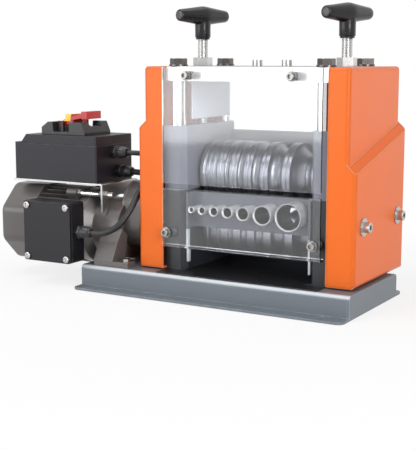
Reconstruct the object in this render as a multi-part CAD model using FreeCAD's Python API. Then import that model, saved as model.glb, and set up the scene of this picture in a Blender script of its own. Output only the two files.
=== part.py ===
import FreeCAD, Part
import math
import os

# Motor-driven wire stripping machine for the bench, in millimetres.
# Origin: middle of the four bench holes, on the underside of the base. +X runs along the
# shafts away from the motor, +Y is the way the wire travels through, +Z is up.

# Base: a hat section bent from sheet, closed by two end plates
BASE_LENGTH = 385.0
BASE_DEPTH = 155.0
BASE_HEIGHT = 30.0
BASE_SHEET = 3.0
BASE_BEND_RADIUS = 6.0
FLANGE_WIDTH = 22.0
FLANGE_CORNER_RADIUS = 9.0
BENCH_HOLE_FROM_END = 31.0
BENCH_HOLE_FROM_WEB = 10.5
BENCH_HOLE_RADIUS = 4.5
HOLE_CLEARANCE = 0.3
BASE_LEFT = -BASE_LENGTH / 2
BENCH_HOLE_SPACING_X = BASE_LENGTH - 2 * BENCH_HOLE_FROM_END
BENCH_HOLE_SPACING_Y = BASE_DEPTH + 2 * BENCH_HOLE_FROM_WEB

# Shafts, bearings and the pair of gears that ties them together
LOWER_SHAFT_Z = 78.0
SHAFT_RADIUS = 8.5
SHAFT_HOLE_CLEARANCE = 2.5
SHAFT_OVERHANG = 2.0
SHAFT_CHAMFER = 0.8
BEARING_RADIUS = 17.5
BEARING_WIDTH = 10.0
BEARING_RING = 3.2
BEARING_INNER_RING = 2.4
BEARING_RECESS = 1.2
PAIR_MODULE = 4.0
PAIR_TEETH = 19
PAIR_WIDTH = 14.0
PAIR_GAP = 4.0
PAIR_RECESS_DEPTH = 3.0
PAIR_RECESS_RADIUS = 28.0
PAIR_HUB_RADIUS = 15.0
PAIR_COLLAR_WALL = 3.0
PRESSURE_ANGLE = math.radians(20.0)
SLIDING_CLEARANCE = 0.06
SEAT_CLEARANCE = 0.02
END_CLEARANCE = 0.3
UPPER_SHAFT_Z = LOWER_SHAFT_Z + PAIR_MODULE * PAIR_TEETH

# Head: everything between and around the two pairs of bearing blocks
HEAD_FROM_BASE_END = 228.5
HEAD_X = BASE_LEFT + HEAD_FROM_BASE_END
HEAD_Y = 28.5
CLEAR_WIDTH = 176.0
BLOCK_WIDTH = 29.0
BLOCK_DEPTH = 145.0
BLOCK_CHAMFER_X = 6.3
BLOCK_CHAMFER_Y = 10.0
JOINT_OVER_SHAFT = 56.0
JOINT_Z = LOWER_SHAFT_Z + JOINT_OVER_SHAFT
JOINT_GAP = 0.6
SLIDE_BLOCK_HEIGHT = 83.0
SLIDE_BLOCK_TOP = JOINT_Z + SLIDE_BLOCK_HEIGHT
PLATE_UNDERSIDE = 274.0
PLATE_THICKNESS = 18.0
PLATE_LENGTH = 227.6
PLATE_CHAMFER = 0.8
PLATE_TOP = PLATE_UNDERSIDE + PLATE_THICKNESS

# Socket screws that hold the fixed blocks on the base
BLOCK_SCREW_RADIUS = 4.0
BLOCK_SCREW_DEPTH = 16.0
BLOCK_SCREW_HEAD_RADIUS = 6.5
BLOCK_SCREW_HEAD = 8.0
BLOCK_SCREW_FRONT = 36.6
BLOCK_SCREW_INSET = 12.4
SOCKET_DEPTH = 4.0
SOCKET_FLATS = 6.0

# Guide rods and the lift screws
ROD_RADIUS = 10.0
ROD_OFFSET_X = 102.5
ROD_OFFSET_Y = 61.0
ROD_SEAT_DEPTH = 20.0
ROD_SEAT_Z = JOINT_Z - ROD_SEAT_DEPTH
ROD_THREAD_DEPTH = 22.0
SCREW_RADIUS = 7.0
SCREW_FOOT_DEPTH = 21.0
SCREW_FOOT_Z = SLIDE_BLOCK_TOP - SCREW_FOOT_DEPTH
SCREW_HOLE_CLEARANCE = 0.5

# Wheels: one channel for each wire size, narrow at the left and wide at the right
WIRE_SIZES = (4.0, 6.0, 8.0, 10.0, 13.0, 20.0, 30.0)
CHANNEL_WALL = 10.5
NIP_GAP = 2.0
FEED_RADIUS = 32.0
FEED_HUB_WALL = 4.0
HUB_END_GAP = 0.5
BLADE_THICKNESS = 1.6
BLADE_BITE = 0.9
WHEEL_EDGE = 0.8
LOCK_NUT_FLATS = 30.0
NIP_Z = LOWER_SHAFT_Z + FEED_RADIUS + NIP_GAP / 2

# Inlet: a cross plate with two ears and legs, and one steel tube for each channel
INLET_PLATE_Y = -22.0
INLET_PLATE_THICKNESS = 6.0
INLET_PLATE_Z = (NIP_Z - 25.0, NIP_Z + 20.0)
INLET_EAR_Y = -38.0
INLET_EAR_THICKNESS = 3.0
INLET_LEG_WIDTH = 5.0
INLET_LEG_LENGTH = 45.0
TUBE_WALL = 2.2
TUBE_FRONT_Y = -48.0
TUBE_BACK_Y = -10.0
TUBE_FLARE = 3.0

# Panels at the back
CARRIAGE_PANEL_Y = 84.0
CARRIAGE_PANEL_Z = (JOINT_Z + 4.0, JOINT_Z + 72.0)
OUTLET_PANEL_Z = (BASE_HEIGHT + 1.0, NIP_Z - 15.0)
PANEL_THICKNESS = 6.0

# Clear guards
GUARD_THICKNESS = 3.0
GUARD_FRONT_Y = -60.0
GUARD_WIDTH = 220.0
GUARD_BEND_RADIUS = 2.5
GUARD_TOP_STEP = 1.0
LOWER_GUARD_Z = (JOINT_Z - 72.0, JOINT_Z + 4.5)
UPPER_GUARD_Z = (JOINT_Z + 11.0, PLATE_TOP - GUARD_TOP_STEP)
GUARD_LIP = 11.0
UPPER_SCREWS = (-75.0, 70.5)
UPPER_SCREW_Z = PLATE_UNDERSIDE + 7.0
UPPER_SPACER_RADIUS = 5.5
LOWER_SCREWS = (-105.0, 100.0)
LOWER_SCREW_Z = JOINT_Z - 53.0
LOWER_SPACER_RADIUS = 8.0
GUARD_SCREW_RADIUS = 3.0
GUARD_SCREW_DEPTH = 12.0
GUARD_HEAD_RADIUS = 5.0
GUARD_HEAD_HEIGHT = 5.0
GUARD_HEAD_EDGE = 0.8
GUARD_SOCKET_DEPTH = 3.0
GUARD_SOCKET_CORNER = 2.9
GUARD_WASHER_RADIUS = 6.6
GUARD_WASHER_THICKNESS = 1.2
SPACER_CLEARANCE = 0.2

# Side covers, one pressing used twice
COVER_INNER = 114.6
COVER_UPPER = 141.7
COVER_LOWER = 151.6
COVER_DEPTH = 164.0
COVER_SHEET = 2.0
COVER_LIP = 1.0
COVER_BOTTOM_Z = BASE_HEIGHT + 2.0
COVER_CORNER_RADIUS = 4.5
BEVEL_FRONT_Z = 168.0
BEVEL_REAR_Z = 212.0
BEVEL_HEIGHT = 9.0
BEVEL_LEAN = 0.4
COVER_NOTCH = 9.0
COVER_SHAFT_HOLE_WALL = 6.0
COVER_BOLT_OFFSET_Y = 57.0
COVER_BOLT_Z = 104.0
COVER_BOLT_RADIUS = 4.0
COVER_BOLT_DEPTH = 12.0
COVER_BOLT_HEAD_RADIUS = 6.5
COVER_BOLT_HEAD = 8.0
COVER_WASHER_RADIUS = 11.0
COVER_WASHER_THICKNESS = 1.8
COVER_SLEEVE_RADIUS = 8.0
BOLT_CLEARANCE = 0.4
PLATE_GAP = 0.3

# Fasteners on the top plate
M12_SHANK_RADIUS = 6.0
M12_HEAD_ACROSS_FLATS = 19.0
M12_CROWN_RADIUS = 0.53 * M12_HEAD_ACROSS_FLATS
M12_CROWN_SLOPE = 1.7
M12_HEAD_HEIGHT = 7.5
M12_WASHER_RADIUS = 12.0
M12_WASHER_THICKNESS = 2.5
M12_THREAD_DEPTH = 20.0
M12_HOLE_CLEARANCE = 0.5
LIFT_NUT_ACROSS_FLATS = 22.0
LIFT_NUT_HEIGHT = 11.0
CENTRE_SCREW_OFFSET_X = 21.0
CENTRE_SCREW_RADIUS = 4.0
CENTRE_SCREW_HEAD_RADIUS = 6.5
CENTRE_SCREW_HEAD = 8.0
CENTRE_SOCKET_DEPTH = 4.5

# Bent screens that hang inside the blocks from the top plate
SCREEN_FLANGE = 14.0
SCREEN_SHEET = 1.5
SCREEN_BLOCK_GAP = 8.0
SCREEN_DROP = PLATE_UNDERSIDE - SLIDE_BLOCK_TOP - SCREEN_BLOCK_GAP
SCREEN_HALF_DEPTH = 50.0
SCREEN_SCREW_OFFSET = 38.0
SCREEN_SCREW_RADIUS = 2.0
SCREEN_SCREW_HEAD_RADIUS = 3.8
SCREEN_SCREW_HEAD = 2.5
SCREEN_SCREW_DEPTH = 6.0
SCREEN_NOTCH_CLEARANCE = 1.0

# T grips
GRIP_OVER_PLATE = 37.0
GRIP_HUB_HEIGHT = 28.0
GRIP_HUB_RADIUS = 10.7
GRIP_LIP_HEIGHT = 2.0
GRIP_LIP_STEP = 1.5
GRIP_HALF_LENGTH = 42.0
GRIP_MIDDLE_RADIUS = 12.5
GRIP_MIDDLE_BULGE = 0.4
GRIP_END_RADIUS = 7.6
GRIP_END_EDGE = 2.5
GRIP_SCREW_GAP = 6.0
GRIP_TURN = 16.0
GRIP_HUB_Z = PLATE_TOP + GRIP_OVER_PLATE
GRIP_BAR_Z = GRIP_HUB_Z + GRIP_HUB_HEIGHT

# Motor: its face toward the reducer lies outside the end of the base
MOTOR_Y = -10.0
MOTOR_Z = 73.0
MOTOR_OVERHANG = 25.5
FRAME_LENGTH = 70.0
FRAME_X = (BASE_LEFT - MOTOR_OVERHANG - FRAME_LENGTH, BASE_LEFT - MOTOR_OVERHANG)
FRAME_RADIUS = 46.0
FRAME_BORE = 38.0
FRAME_WALL = 2.0
FRAME_SPIGOT = 6.0
FRAME_COLLAR = 4.0
FIN_RADIUS = 53.0
FIN_COUNT = 36
FIN_THICKNESS = 2.6
FAN_COVER_LENGTH = 55.0
FAN_COVER_X = (FRAME_X[0] - FAN_COVER_LENGTH, FRAME_X[0])
FAN_COVER_FLATS = 108.0
FAN_COVER_WALL = 1.5
FAN_COVER_EDGE = 6.0
FAN_COVER_CORNER = 16.0
GRILLE_PITCH = 8.5
GRILLE_SLOT = 4.0
GRILLE_REACH = 38.0
GRILLE_RIM = 3.0
GRILLE_BAR_OFFSET = 18.0
GRILLE_BAR_WIDTH = 3.0
FAN_START = 16.0
FAN_LENGTH = 26.0
FAN_HUB_RADIUS = 12.0
FAN_RADIUS = 40.0
FAN_DISC = 3.0
FAN_BLADES = 7
FAN_BLADE_THICKNESS = 2.4
ROTOR_SHAFT_RADIUS = 6.0
ROTOR_STEP = 0.5
ROTOR_RADIUS = 25.0
AIR_GAP = 0.5
ROTOR_END_GAP = 2.0
STATOR_GAP = (10.0, 4.0)
END_SHIELD_LENGTH = 65.0
END_SHIELD_RADIUS = 52.0
END_SHIELD_BARREL = 14.0
END_SHIELD_SHOULDER = 10.0
END_SHIELD_NECK = 41.0
END_SHIELD_FLANGE = 4.0
END_SHIELD_JOURNAL = 20.0
FOOT_FROM_BASE_END = 16.5
FOOT_LENGTHS = (30.0, 16.0)
FOOT_INSET = 5.5
FOOT_SPREAD = BASE_DEPTH / 2 + MOTOR_Y - FOOT_INSET
FOOT_X = BASE_LEFT + FOOT_FROM_BASE_END
FOOT_HEIGHT = 7.0
FOOT_PROFILE = ((0.0, 0.0), (26.0, 0.0), (30.0, 9.0), (36.0, 37.0), (24.0, 47.0), (12.0, 31.0), (0.0, 8.0))
FOOT_BOLT_RADIUS = 3.0
FOOT_TOE = (54.0, 17.0)
FOOT_BOLT_INSET = (46.0, 8.5)
FOOT_NUT_FLATS = 10.0
FOOT_HEAD = 4.0
FOOT_NUT = 5.0

# Gear reducer between the motor and the lower shaft
REDUCER_DEPTH = 26.0
REDUCER_X = (FRAME_X[1] + END_SHIELD_LENGTH, FRAME_X[1] + END_SHIELD_LENGTH + REDUCER_DEPTH)
REDUCER_WALL = 4.0
REDUCER_RADII = (21.0, 30.0, 32.0)
STAGE_ONE_MODULE = 1.0
STAGE_ONE_TEETH = (15, 51)
STAGE_ONE_X = (REDUCER_X[0] + 4.5, REDUCER_X[0] + 11.5)
STAGE_TWO_MODULE = 1.25
STAGE_TWO_TEETH = (15, 45)
STAGE_TWO_X = (REDUCER_X[0] + 13.5, REDUCER_X[0] + 21.0)
MIDDLE_SHAFT_RADIUS = 5.0
MIDDLE_SHAFT_SEAT = 2.5
BACKLASH = 0.12

# Terminal box on the front of the motor
TERMINAL_X = (FRAME_X[1] - 57.0, FRAME_X[1] + 20.0)
TERMINAL_Y = (MOTOR_Y - 85.0, MOTOR_Y - 54.0)
TERMINAL_Z = (MOTOR_Z - 41.0, MOTOR_Z + 40.0)
TERMINAL_WALL = 2.5
TERMINAL_LID = 5.0
TERMINAL_EDGE = 3.0
TERMINAL_SCREW_INSET = 6.0
TERMINAL_SCREW_RADIUS = 2.0
TERMINAL_SCREW_DEPTH = 10.0
TERMINAL_HEAD_RADIUS = 4.6
TERMINAL_HEAD = 3.0
TERMINAL_BOSS_RADIUS = 4.6
PAD_INSET_X = (5.0, 22.0)
PAD_INSET_Z = 6.0
PAD_OVERLAP = 8.0
CROSS_LENGTH = 6.8
CROSS_WIDTH = 1.2
CROSS_DEPTH = 1.4

# Switch box on its bracket above the motor
BRACKET_X = (FRAME_X[1] - 109.0, FRAME_X[1] + 43.0)
BRACKET_SHEET = 2.5
BRACKET_DROP = 38.0
BRACKET_ARCH = 4.0
SWITCH_X = (BRACKET_X[0] + 3.0, BRACKET_X[1] - 9.0)
SWITCH_DEPTH = 85.0
SWITCH_BOTTOM = 136.0
SWITCH_HEIGHT = 50.0
SWITCH_Z = (SWITCH_BOTTOM, SWITCH_BOTTOM + SWITCH_HEIGHT)
SWITCH_WALL = 2.5
SWITCH_LID_HEIGHT = 12.5
SWITCH_LID_TOP = SWITCH_Z[1] + SWITCH_LID_HEIGHT
SWITCH_LID_STEP = 12.0
SWITCH_LID_SLANT = 9.0
SWITCH_LID_RIM = 1.2
BOX_SCREW_RADIUS = 2.0
BOX_SCREW_INSET = 20.0
BOX_SCREW_HEAD_RADIUS = 3.8
BOX_SCREW_HEAD = 2.6
STUD_Y = MOTOR_Y - 34.0
STUD_Z = SWITCH_BOTTOM - 15.0
STUD_RADIUS = 3.0
STUD_OVERHANG = 12.0
STUD_NUT = 5.0
STUD_NUT_FLATS = 10.0
LUG_RADIUS = 7.5
LUG_LENGTH = 16.0
LUG_SETBACK = 2.0
LUG_OVERLAP = 4.0
STUD_DEPTH = 12.0

# Stop switch on the lid
BEZEL_X = (SWITCH_X[0] + 42.0, SWITCH_X[0] + 115.0)
BEZEL_Y = (MOTOR_Y - 34.0, MOTOR_Y + 26.0)
BEZEL_PLATE = 4.0
BEZEL_TOP = SWITCH_LID_TOP + BEZEL_PLATE
CHEEK_HEIGHT = 13.5
CHEEK_TOP = BEZEL_TOP + CHEEK_HEIGHT
CHEEK_THICKNESS = 6.0
CHEEK_LENGTHS = (20.0, 27.0, 10.0)
CHEEK_SHOULDER = (11.0, 6.0)
CHEEK_LEAN = 1.5
CHEEK_END_LEAN = 6.0
SCOOP_WALL = 5.0
SCOOP_HALF = 12.0
FINGER_HALF = 13.0
FINGER_DEPTH = 6.0
EAR_WIDTH = 4.0
EAR_GAP = 0.5
FLAP_X = (BEZEL_X[0] + 37.0, BEZEL_X[0] + 67.0)
FLAP_Z = (CHEEK_TOP + 1.0, CHEEK_TOP + 7.0)
FLAP_RISE = 6.0
FLAP_WIDTH = 33.0
FLAP_HINGE_X = BEZEL_X[0] + 26.0
FLAP_HINGE_Z = CHEEK_TOP - 3.0
FLAP_PIN_RADIUS = 2.0
FLAP_NOSE_RADIUS = 5.0
FLAP_NOSE = 4.0
FLAP_LIP = (9.0, 3.0, 1.2)
FLAP_TAB = (4.0, 14.0, 3.0, 13.0)
FLAP_TAB_INSET = 1.5
FLAP_ARM_INSET = 1.0
FLAP_HEEL = ((-3.5, 3.0), (-3.5, -2.5), (3.5, -3.5))
FLAP_ARM_LAP = (6.0, 2.0)
BUTTON_RADIUS = 8.0
BUTTON_COLLAR = 1.6
BUTTON_COLLAR_Z = (2.4, 0.3)
START_X = BEZEL_X[0] + 32.5
STOP_X = BEZEL_X[0] + 52.0
START_HEIGHT = 9.0
STOP_HEIGHT = 12.0
BUTTON_TRAVEL = 3.0
SWITCH_Y = (BEZEL_Y[0] + BEZEL_Y[1]) / 2
CONTACT_MARGIN = BUTTON_RADIUS + 1.2
CONTACT_HALF_DEPTH = 13.0

# Cables
CABLE_RADIUS = 4.0
CORD_RADIUS = 3.5
GLAND_HEX = 17.0
GLAND_NUT = 7.0
GLAND_SPIGOT = 6.0
GLAND_WALL = 1.3
GLAND_TIP_WALL = 2.2
GLAND_INNER_HEX = 14.0
GLAND_LENGTH = 24.0
GLAND_HOLE_RADIUS = CABLE_RADIUS + GLAND_WALL + SEAT_CLEARANCE
LINK_GLAND = (TERMINAL_X[1], TERMINAL_Y[0] + 16.0, TERMINAL_Z[0] + 42.0)
SWITCH_GLAND = (SWITCH_X[1], MOTOR_Y + 9.0, SWITCH_Z[0] + 13.0)
MAINS_GLAND = (SWITCH_X[1], MOTOR_Y - 3.0, SWITCH_Z[0] + 40.0)
COIL_CENTRE = (HEAD_X - 58.0, 182.0)
COIL_RADIUS = 41.0
COIL_HALF_WIDTH = 7.1
COIL_HEIGHT = 21.6
COIL_LEAD = 26.0
COIL_LOW_Z = 3.6
COIL_HIGH_Z = 17.9
PLUG_TURN = 20.0
PLUG_RELIEF = 24.0
PLUG_BODY = 32.0
PLUG_RADIUS = 9.9
PLUG_PIN_LENGTH = 19.0
PLUG_PIN_RADIUS = 2.0
PLUG_PIN_OFFSET = 5.6

V = FreeCAD.Vector
SIDES = (-1, 1)


def block(x0, x1, y0, y1, z0, z1):
    return Part.makeBox(x1 - x0, y1 - y0, z1 - z0, V(x0, y0, z0))


def round_x(x0, x1, y, z, radius):
    return Part.makeCylinder(radius, x1 - x0, V(x0, y, z), V(1, 0, 0))


def round_y(y0, y1, x, z, radius):
    return Part.makeCylinder(radius, y1 - y0, V(x, y0, z), V(0, 1, 0))


def round_z(z0, z1, x, y, radius):
    return Part.makeCylinder(radius, z1 - z0, V(x, y, z0), V(0, 0, 1))


def prism(points, direction):
    wire = Part.makePolygon([V(*p) for p in points] + [V(*points[0])])
    return Part.Face(wire).extrude(V(*direction))


def prism_x(points, x0, x1):
    return prism([(x0, y, z) for y, z in points], (x1 - x0, 0, 0))


def prism_y(points, y0, y1):
    return prism([(x, y0, z) for x, z in points], (0, y1 - y0, 0))


def regular(count, radius, turn=0.0):
    step = 2 * math.pi / count
    return [(radius * math.cos(turn + i * step), radius * math.sin(turn + i * step)) for i in range(count)]


def hexagon_z(x, y, z0, z1, flats):
    corners = regular(6, flats / math.sqrt(3), math.radians(30))
    return prism([(x + a, y + b, z0) for a, b in corners], (0, 0, z1 - z0))


def hexagon_x(x0, x1, y, z, flats):
    corners = regular(6, flats / math.sqrt(3))
    return prism_x([(y + a, z + b) for a, b in corners], x0, x1)


def fuse(first, *others):
    return first.fuse(list(others)).removeSplitter()


def cut(first, *others):
    return first.cut(list(others))


def group(solids):
    return Part.makeCompound(solids)


def save(name, shape):
    shape.exportStep(os.path.join("parts", name + ".step"))


def edges_where(shape, test):
    return [edge for edge in shape.Edges if test(edge)]


def runs_along(edge, axis):
    ends = [vertex.Point for vertex in edge.Vertexes]
    if len(ends) < 2:
        return False
    span = ends[1] - ends[0]
    return abs(abs(getattr(span, axis)) - span.Length) < 1e-6


# Places worked out from the sizes above
BLOCK_INNER = CLEAR_WIDTH / 2
BLOCK_OUTER = BLOCK_INNER + BLOCK_WIDTH
BLOCK_FRONT = HEAD_Y - BLOCK_DEPTH / 2
BLOCK_REAR = HEAD_Y + BLOCK_DEPTH / 2
WHEEL_RADIUS = PAIR_MODULE * PAIR_TEETH - NIP_GAP - FEED_RADIUS
GUARD_BACK_Y = GUARD_FRONT_Y + GUARD_THICKNESS
CHANNEL_WIDTHS = [size + CHANNEL_WALL for size in WIRE_SIZES]
STACK_START = HEAD_X - sum(CHANNEL_WIDTHS) / 2
STACK_END = HEAD_X + sum(CHANNEL_WIDTHS) / 2
CHANNEL_X = [STACK_START + sum(CHANNEL_WIDTHS[:i]) + CHANNEL_WIDTHS[i] / 2 for i in range(len(WIRE_SIZES))]
HUB_REACH = BLOCK_INNER - HUB_END_GAP
PAIR_X = HEAD_X + BLOCK_OUTER + PAIR_GAP
SHAFT_END_X = PAIR_X + PAIR_WIDTH + SHAFT_OVERHANG


def base_channel():
    half_length = BASE_LENGTH / 2 - BASE_SHEET
    half_depth = BASE_DEPTH / 2
    outer = block(-half_length, half_length, -half_depth, half_depth, 0, BASE_HEIGHT)
    top = edges_where(outer, lambda e: runs_along(e, "x") and e.BoundBox.ZMin > BASE_HEIGHT - 1)
    outer = outer.makeFillet(BASE_BEND_RADIUS, top)
    inside = half_depth - BASE_SHEET
    hollow = block(-half_length, half_length, -inside, inside, -1, BASE_HEIGHT - BASE_SHEET)
    roof = edges_where(hollow, lambda e: runs_along(e, "x") and e.BoundBox.ZMin > 0)
    hollow = hollow.makeFillet(BASE_BEND_RADIUS - BASE_SHEET, roof)
    hat = cut(outer, hollow)
    for side in SIDES:
        near = side * (half_depth - BASE_SHEET)
        far = side * (half_depth + FLANGE_WIDTH)
        flange = block(-BASE_LENGTH / 2, BASE_LENGTH / 2, min(near, far), max(near, far), 0, BASE_SHEET)
        tip = edges_where(flange, lambda e: runs_along(e, "z") and abs(e.BoundBox.YMin - far) < 0.1)
        hat = hat.fuse(flange.makeFillet(FLANGE_CORNER_RADIUS, tip))
    hat = hat.removeSplitter()
    for sx in SIDES:
        for sy in SIDES:
            x = sx * BENCH_HOLE_SPACING_X / 2
            y = sy * BENCH_HOLE_SPACING_Y / 2
            hat = hat.cut(round_z(-1, BASE_SHEET + 1, x, y, BENCH_HOLE_RADIUS))
    roof_z = BASE_HEIGHT - BASE_SHEET
    for x, y in block_screw_places():
        hat = hat.cut(round_z(roof_z - 1, BASE_HEIGHT + 1, x, y, BLOCK_SCREW_RADIUS + HOLE_CLEARANCE))
    for x, y in foot_bolt_places():
        hat = hat.cut(round_z(roof_z - 1, BASE_HEIGHT + 1, x, y, FOOT_BOLT_RADIUS + HOLE_CLEARANCE))
    return hat


def base_end(side):
    outside = side * BASE_LENGTH / 2
    inside = outside - side * BASE_SHEET
    half_depth = BASE_DEPTH / 2 - BASE_SHEET - SEAT_CLEARANCE
    plate = block(min(inside, outside), max(inside, outside), -BASE_DEPTH / 2, BASE_DEPTH / 2, 0, BASE_HEIGHT)
    top = edges_where(plate, lambda e: runs_along(e, "x") and e.BoundBox.ZMin > BASE_HEIGHT - 1)
    plate = plate.makeFillet(BASE_BEND_RADIUS, top)
    notch = [block(outside - BASE_SHEET - 1, outside + BASE_SHEET + 1, min(s * half_depth, s * BASE_DEPTH),
                   max(s * half_depth, s * BASE_DEPTH), -1, BASE_SHEET) for s in SIDES]
    return cut(plate, *notch)


def block_screw_places():
    rows = (HEAD_Y - BLOCK_SCREW_FRONT, BASE_DEPTH / 2 - BLOCK_SCREW_INSET)
    return [(HEAD_X + s * ROD_OFFSET_X, y) for s in SIDES for y in rows]


def block_screws():
    screws = []
    under = BASE_HEIGHT - BASE_SHEET
    for x, y in block_screw_places():
        head = round_z(under - BLOCK_SCREW_HEAD, under, x, y, BLOCK_SCREW_HEAD_RADIUS)
        shank = round_z(under, BASE_HEIGHT + BLOCK_SCREW_DEPTH - 1, x, y, BLOCK_SCREW_RADIUS)
        socket_top = under - BLOCK_SCREW_HEAD + SOCKET_DEPTH
        socket = hexagon_z(x, y, under - BLOCK_SCREW_HEAD - 1, socket_top, SOCKET_FLATS)
        screws.append(cut(fuse(head, shank), socket))
    return group(screws)


def block_blank(side, z0, z1):
    inner = HEAD_X + side * BLOCK_INNER
    outer = HEAD_X + side * BLOCK_OUTER
    chamfer_x = inner + side * BLOCK_CHAMFER_X
    front = BLOCK_FRONT
    rear = BLOCK_REAR
    points = [(inner, front + BLOCK_CHAMFER_Y), (chamfer_x, front), (outer, front), (outer, rear),
              (chamfer_x, rear), (inner, rear - BLOCK_CHAMFER_Y)]
    return prism([(x, y, z0) for x, y in points], (0, 0, z1 - z0))


def bearing_place(side):
    outer = HEAD_X + side * BLOCK_OUTER
    inner = outer - side * BEARING_WIDTH
    return min(outer, inner), max(outer, inner)


def rod_places(side):
    return [(HEAD_X + side * ROD_OFFSET_X, HEAD_Y + t * ROD_OFFSET_Y) for t in SIDES]


def shaft_holes(side, z):
    x0, x1 = bearing_place(side)
    seat = round_x(x0, x1, HEAD_Y, z, BEARING_RADIUS + SEAT_CLEARANCE)
    span = sorted((HEAD_X + side * (BLOCK_INNER - 1), HEAD_X + side * (BLOCK_OUTER + 1)))
    return [seat, round_x(span[0], span[1], HEAD_Y, z, SHAFT_RADIUS + SHAFT_HOLE_CLEARANCE)]


def fixed_block(side):
    body = block_blank(side, BASE_HEIGHT, JOINT_Z - JOINT_GAP / 2)
    holes = shaft_holes(side, LOWER_SHAFT_Z)
    for x, y in rod_places(side):
        holes.append(round_z(ROD_SEAT_Z, JOINT_Z + 1, x, y, ROD_RADIUS + SEAT_CLEARANCE))
    for x, y in block_screw_places():
        holes.append(round_z(BASE_HEIGHT - 1, BASE_HEIGHT + BLOCK_SCREW_DEPTH, x, y, BLOCK_SCREW_RADIUS))
    for t in SIDES:
        y = HEAD_Y + t * COVER_BOLT_OFFSET_Y
        span = sorted((HEAD_X + side * (BLOCK_OUTER - COVER_BOLT_DEPTH), HEAD_X + side * (BLOCK_OUTER + 1)))
        holes.append(round_x(span[0], span[1], y, COVER_BOLT_Z, COVER_BOLT_RADIUS))
    for offset in LOWER_SCREWS:
        x = HEAD_X + offset
        end = BLOCK_FRONT + GUARD_SCREW_DEPTH
        holes.append(round_y(BLOCK_FRONT - 1, end, x, LOWER_SCREW_Z, GUARD_SCREW_RADIUS))
    return cut(body, *holes)


def slide_block(side):
    body = block_blank(side, JOINT_Z + JOINT_GAP / 2, SLIDE_BLOCK_TOP)
    holes = shaft_holes(side, UPPER_SHAFT_Z)
    for x, y in rod_places(side):
        holes.append(round_z(JOINT_Z - 1, SLIDE_BLOCK_TOP + 1, x, y, ROD_RADIUS + SLIDING_CLEARANCE))
    x = HEAD_X + side * ROD_OFFSET_X
    holes.append(round_z(SCREW_FOOT_Z, SLIDE_BLOCK_TOP + 1, x, HEAD_Y, SCREW_RADIUS + SLIDING_CLEARANCE))
    return cut(body, *holes)


def guide_rods():
    rods = []
    for side in SIDES:
        for x, y in rod_places(side):
            rod = round_z(ROD_SEAT_Z, PLATE_UNDERSIDE, x, y, ROD_RADIUS)
            thread = round_z(PLATE_UNDERSIDE - ROD_THREAD_DEPTH, PLATE_UNDERSIDE + 1, x, y, M12_SHANK_RADIUS)
            rods.append(rod.cut(thread))
    return group(rods)


def screen_screw_places():
    x = BLOCK_INNER + SCREEN_FLANGE / 2
    return [(HEAD_X + side * x, HEAD_Y + t * SCREEN_SCREW_OFFSET) for side in SIDES for t in SIDES]


def top_plate():
    half = PLATE_LENGTH / 2
    plate = block(HEAD_X - half, HEAD_X + half, BLOCK_FRONT, BLOCK_REAR, PLATE_UNDERSIDE, PLATE_TOP)
    plate = plate.makeChamfer(PLATE_CHAMFER, edges_where(plate, lambda e: e.BoundBox.ZMin > PLATE_TOP - 0.1))
    z0 = PLATE_UNDERSIDE - 1
    z1 = PLATE_TOP + 1
    holes = []
    for side in SIDES:
        for x, y in rod_places(side):
            holes.append(round_z(z0, z1, x, y, M12_SHANK_RADIUS + M12_HOLE_CLEARANCE))
        holes.append(round_z(z0, z1, HEAD_X + side * ROD_OFFSET_X, HEAD_Y,
                             SCREW_RADIUS + SCREW_HOLE_CLEARANCE))
        holes.append(round_z(z0, z1, HEAD_X + side * CENTRE_SCREW_OFFSET_X, HEAD_Y, CENTRE_SCREW_RADIUS))
    for offset in UPPER_SCREWS:
        x = HEAD_X + offset
        end = BLOCK_FRONT + GUARD_SCREW_DEPTH
        holes.append(round_y(BLOCK_FRONT - 1, end, x, UPPER_SCREW_Z, GUARD_SCREW_RADIUS))
    for x, y in screen_screw_places():
        holes.append(round_z(z0, PLATE_UNDERSIDE + SCREEN_SCREW_DEPTH + 1, x, y, SCREEN_SCREW_RADIUS))
    return cut(plate, *holes)


def inner_screen(side):
    inner = HEAD_X + side * BLOCK_INNER
    sheet_x = sorted((inner, inner + side * SCREEN_SHEET))
    flange_x = sorted((inner, inner + side * SCREEN_FLANGE))
    y0 = HEAD_Y - SCREEN_HALF_DEPTH
    y1 = HEAD_Y + SCREEN_HALF_DEPTH
    under = PLATE_UNDERSIDE - SCREEN_SHEET
    sheet = block(sheet_x[0], sheet_x[1], y0, y1, PLATE_UNDERSIDE - SCREEN_DROP, PLATE_UNDERSIDE)
    flange = block(flange_x[0], flange_x[1], y0, y1, under, PLATE_UNDERSIDE)
    screen = fuse(sheet, flange)
    notch_x = HEAD_X + side * ROD_OFFSET_X
    holes = [round_z(under - 1, PLATE_UNDERSIDE + 1, notch_x, HEAD_Y, SCREW_RADIUS + SCREEN_NOTCH_CLEARANCE)]
    for x, y in screen_screw_places():
        holes.append(round_z(under - 1, PLATE_UNDERSIDE + 1, x, y, SCREEN_SCREW_RADIUS))
    return cut(screen, *holes)


def screen_screws():
    screws = []
    seat = PLATE_UNDERSIDE - SCREEN_SHEET
    for x, y in screen_screw_places():
        head = round_z(seat - SCREEN_SCREW_HEAD, seat, x, y, SCREEN_SCREW_HEAD_RADIUS)
        shank = round_z(seat, PLATE_UNDERSIDE + SCREEN_SCREW_DEPTH, x, y, SCREEN_SCREW_RADIUS)
        screws.append(fuse(head, shank))
    return group(screws)


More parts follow.
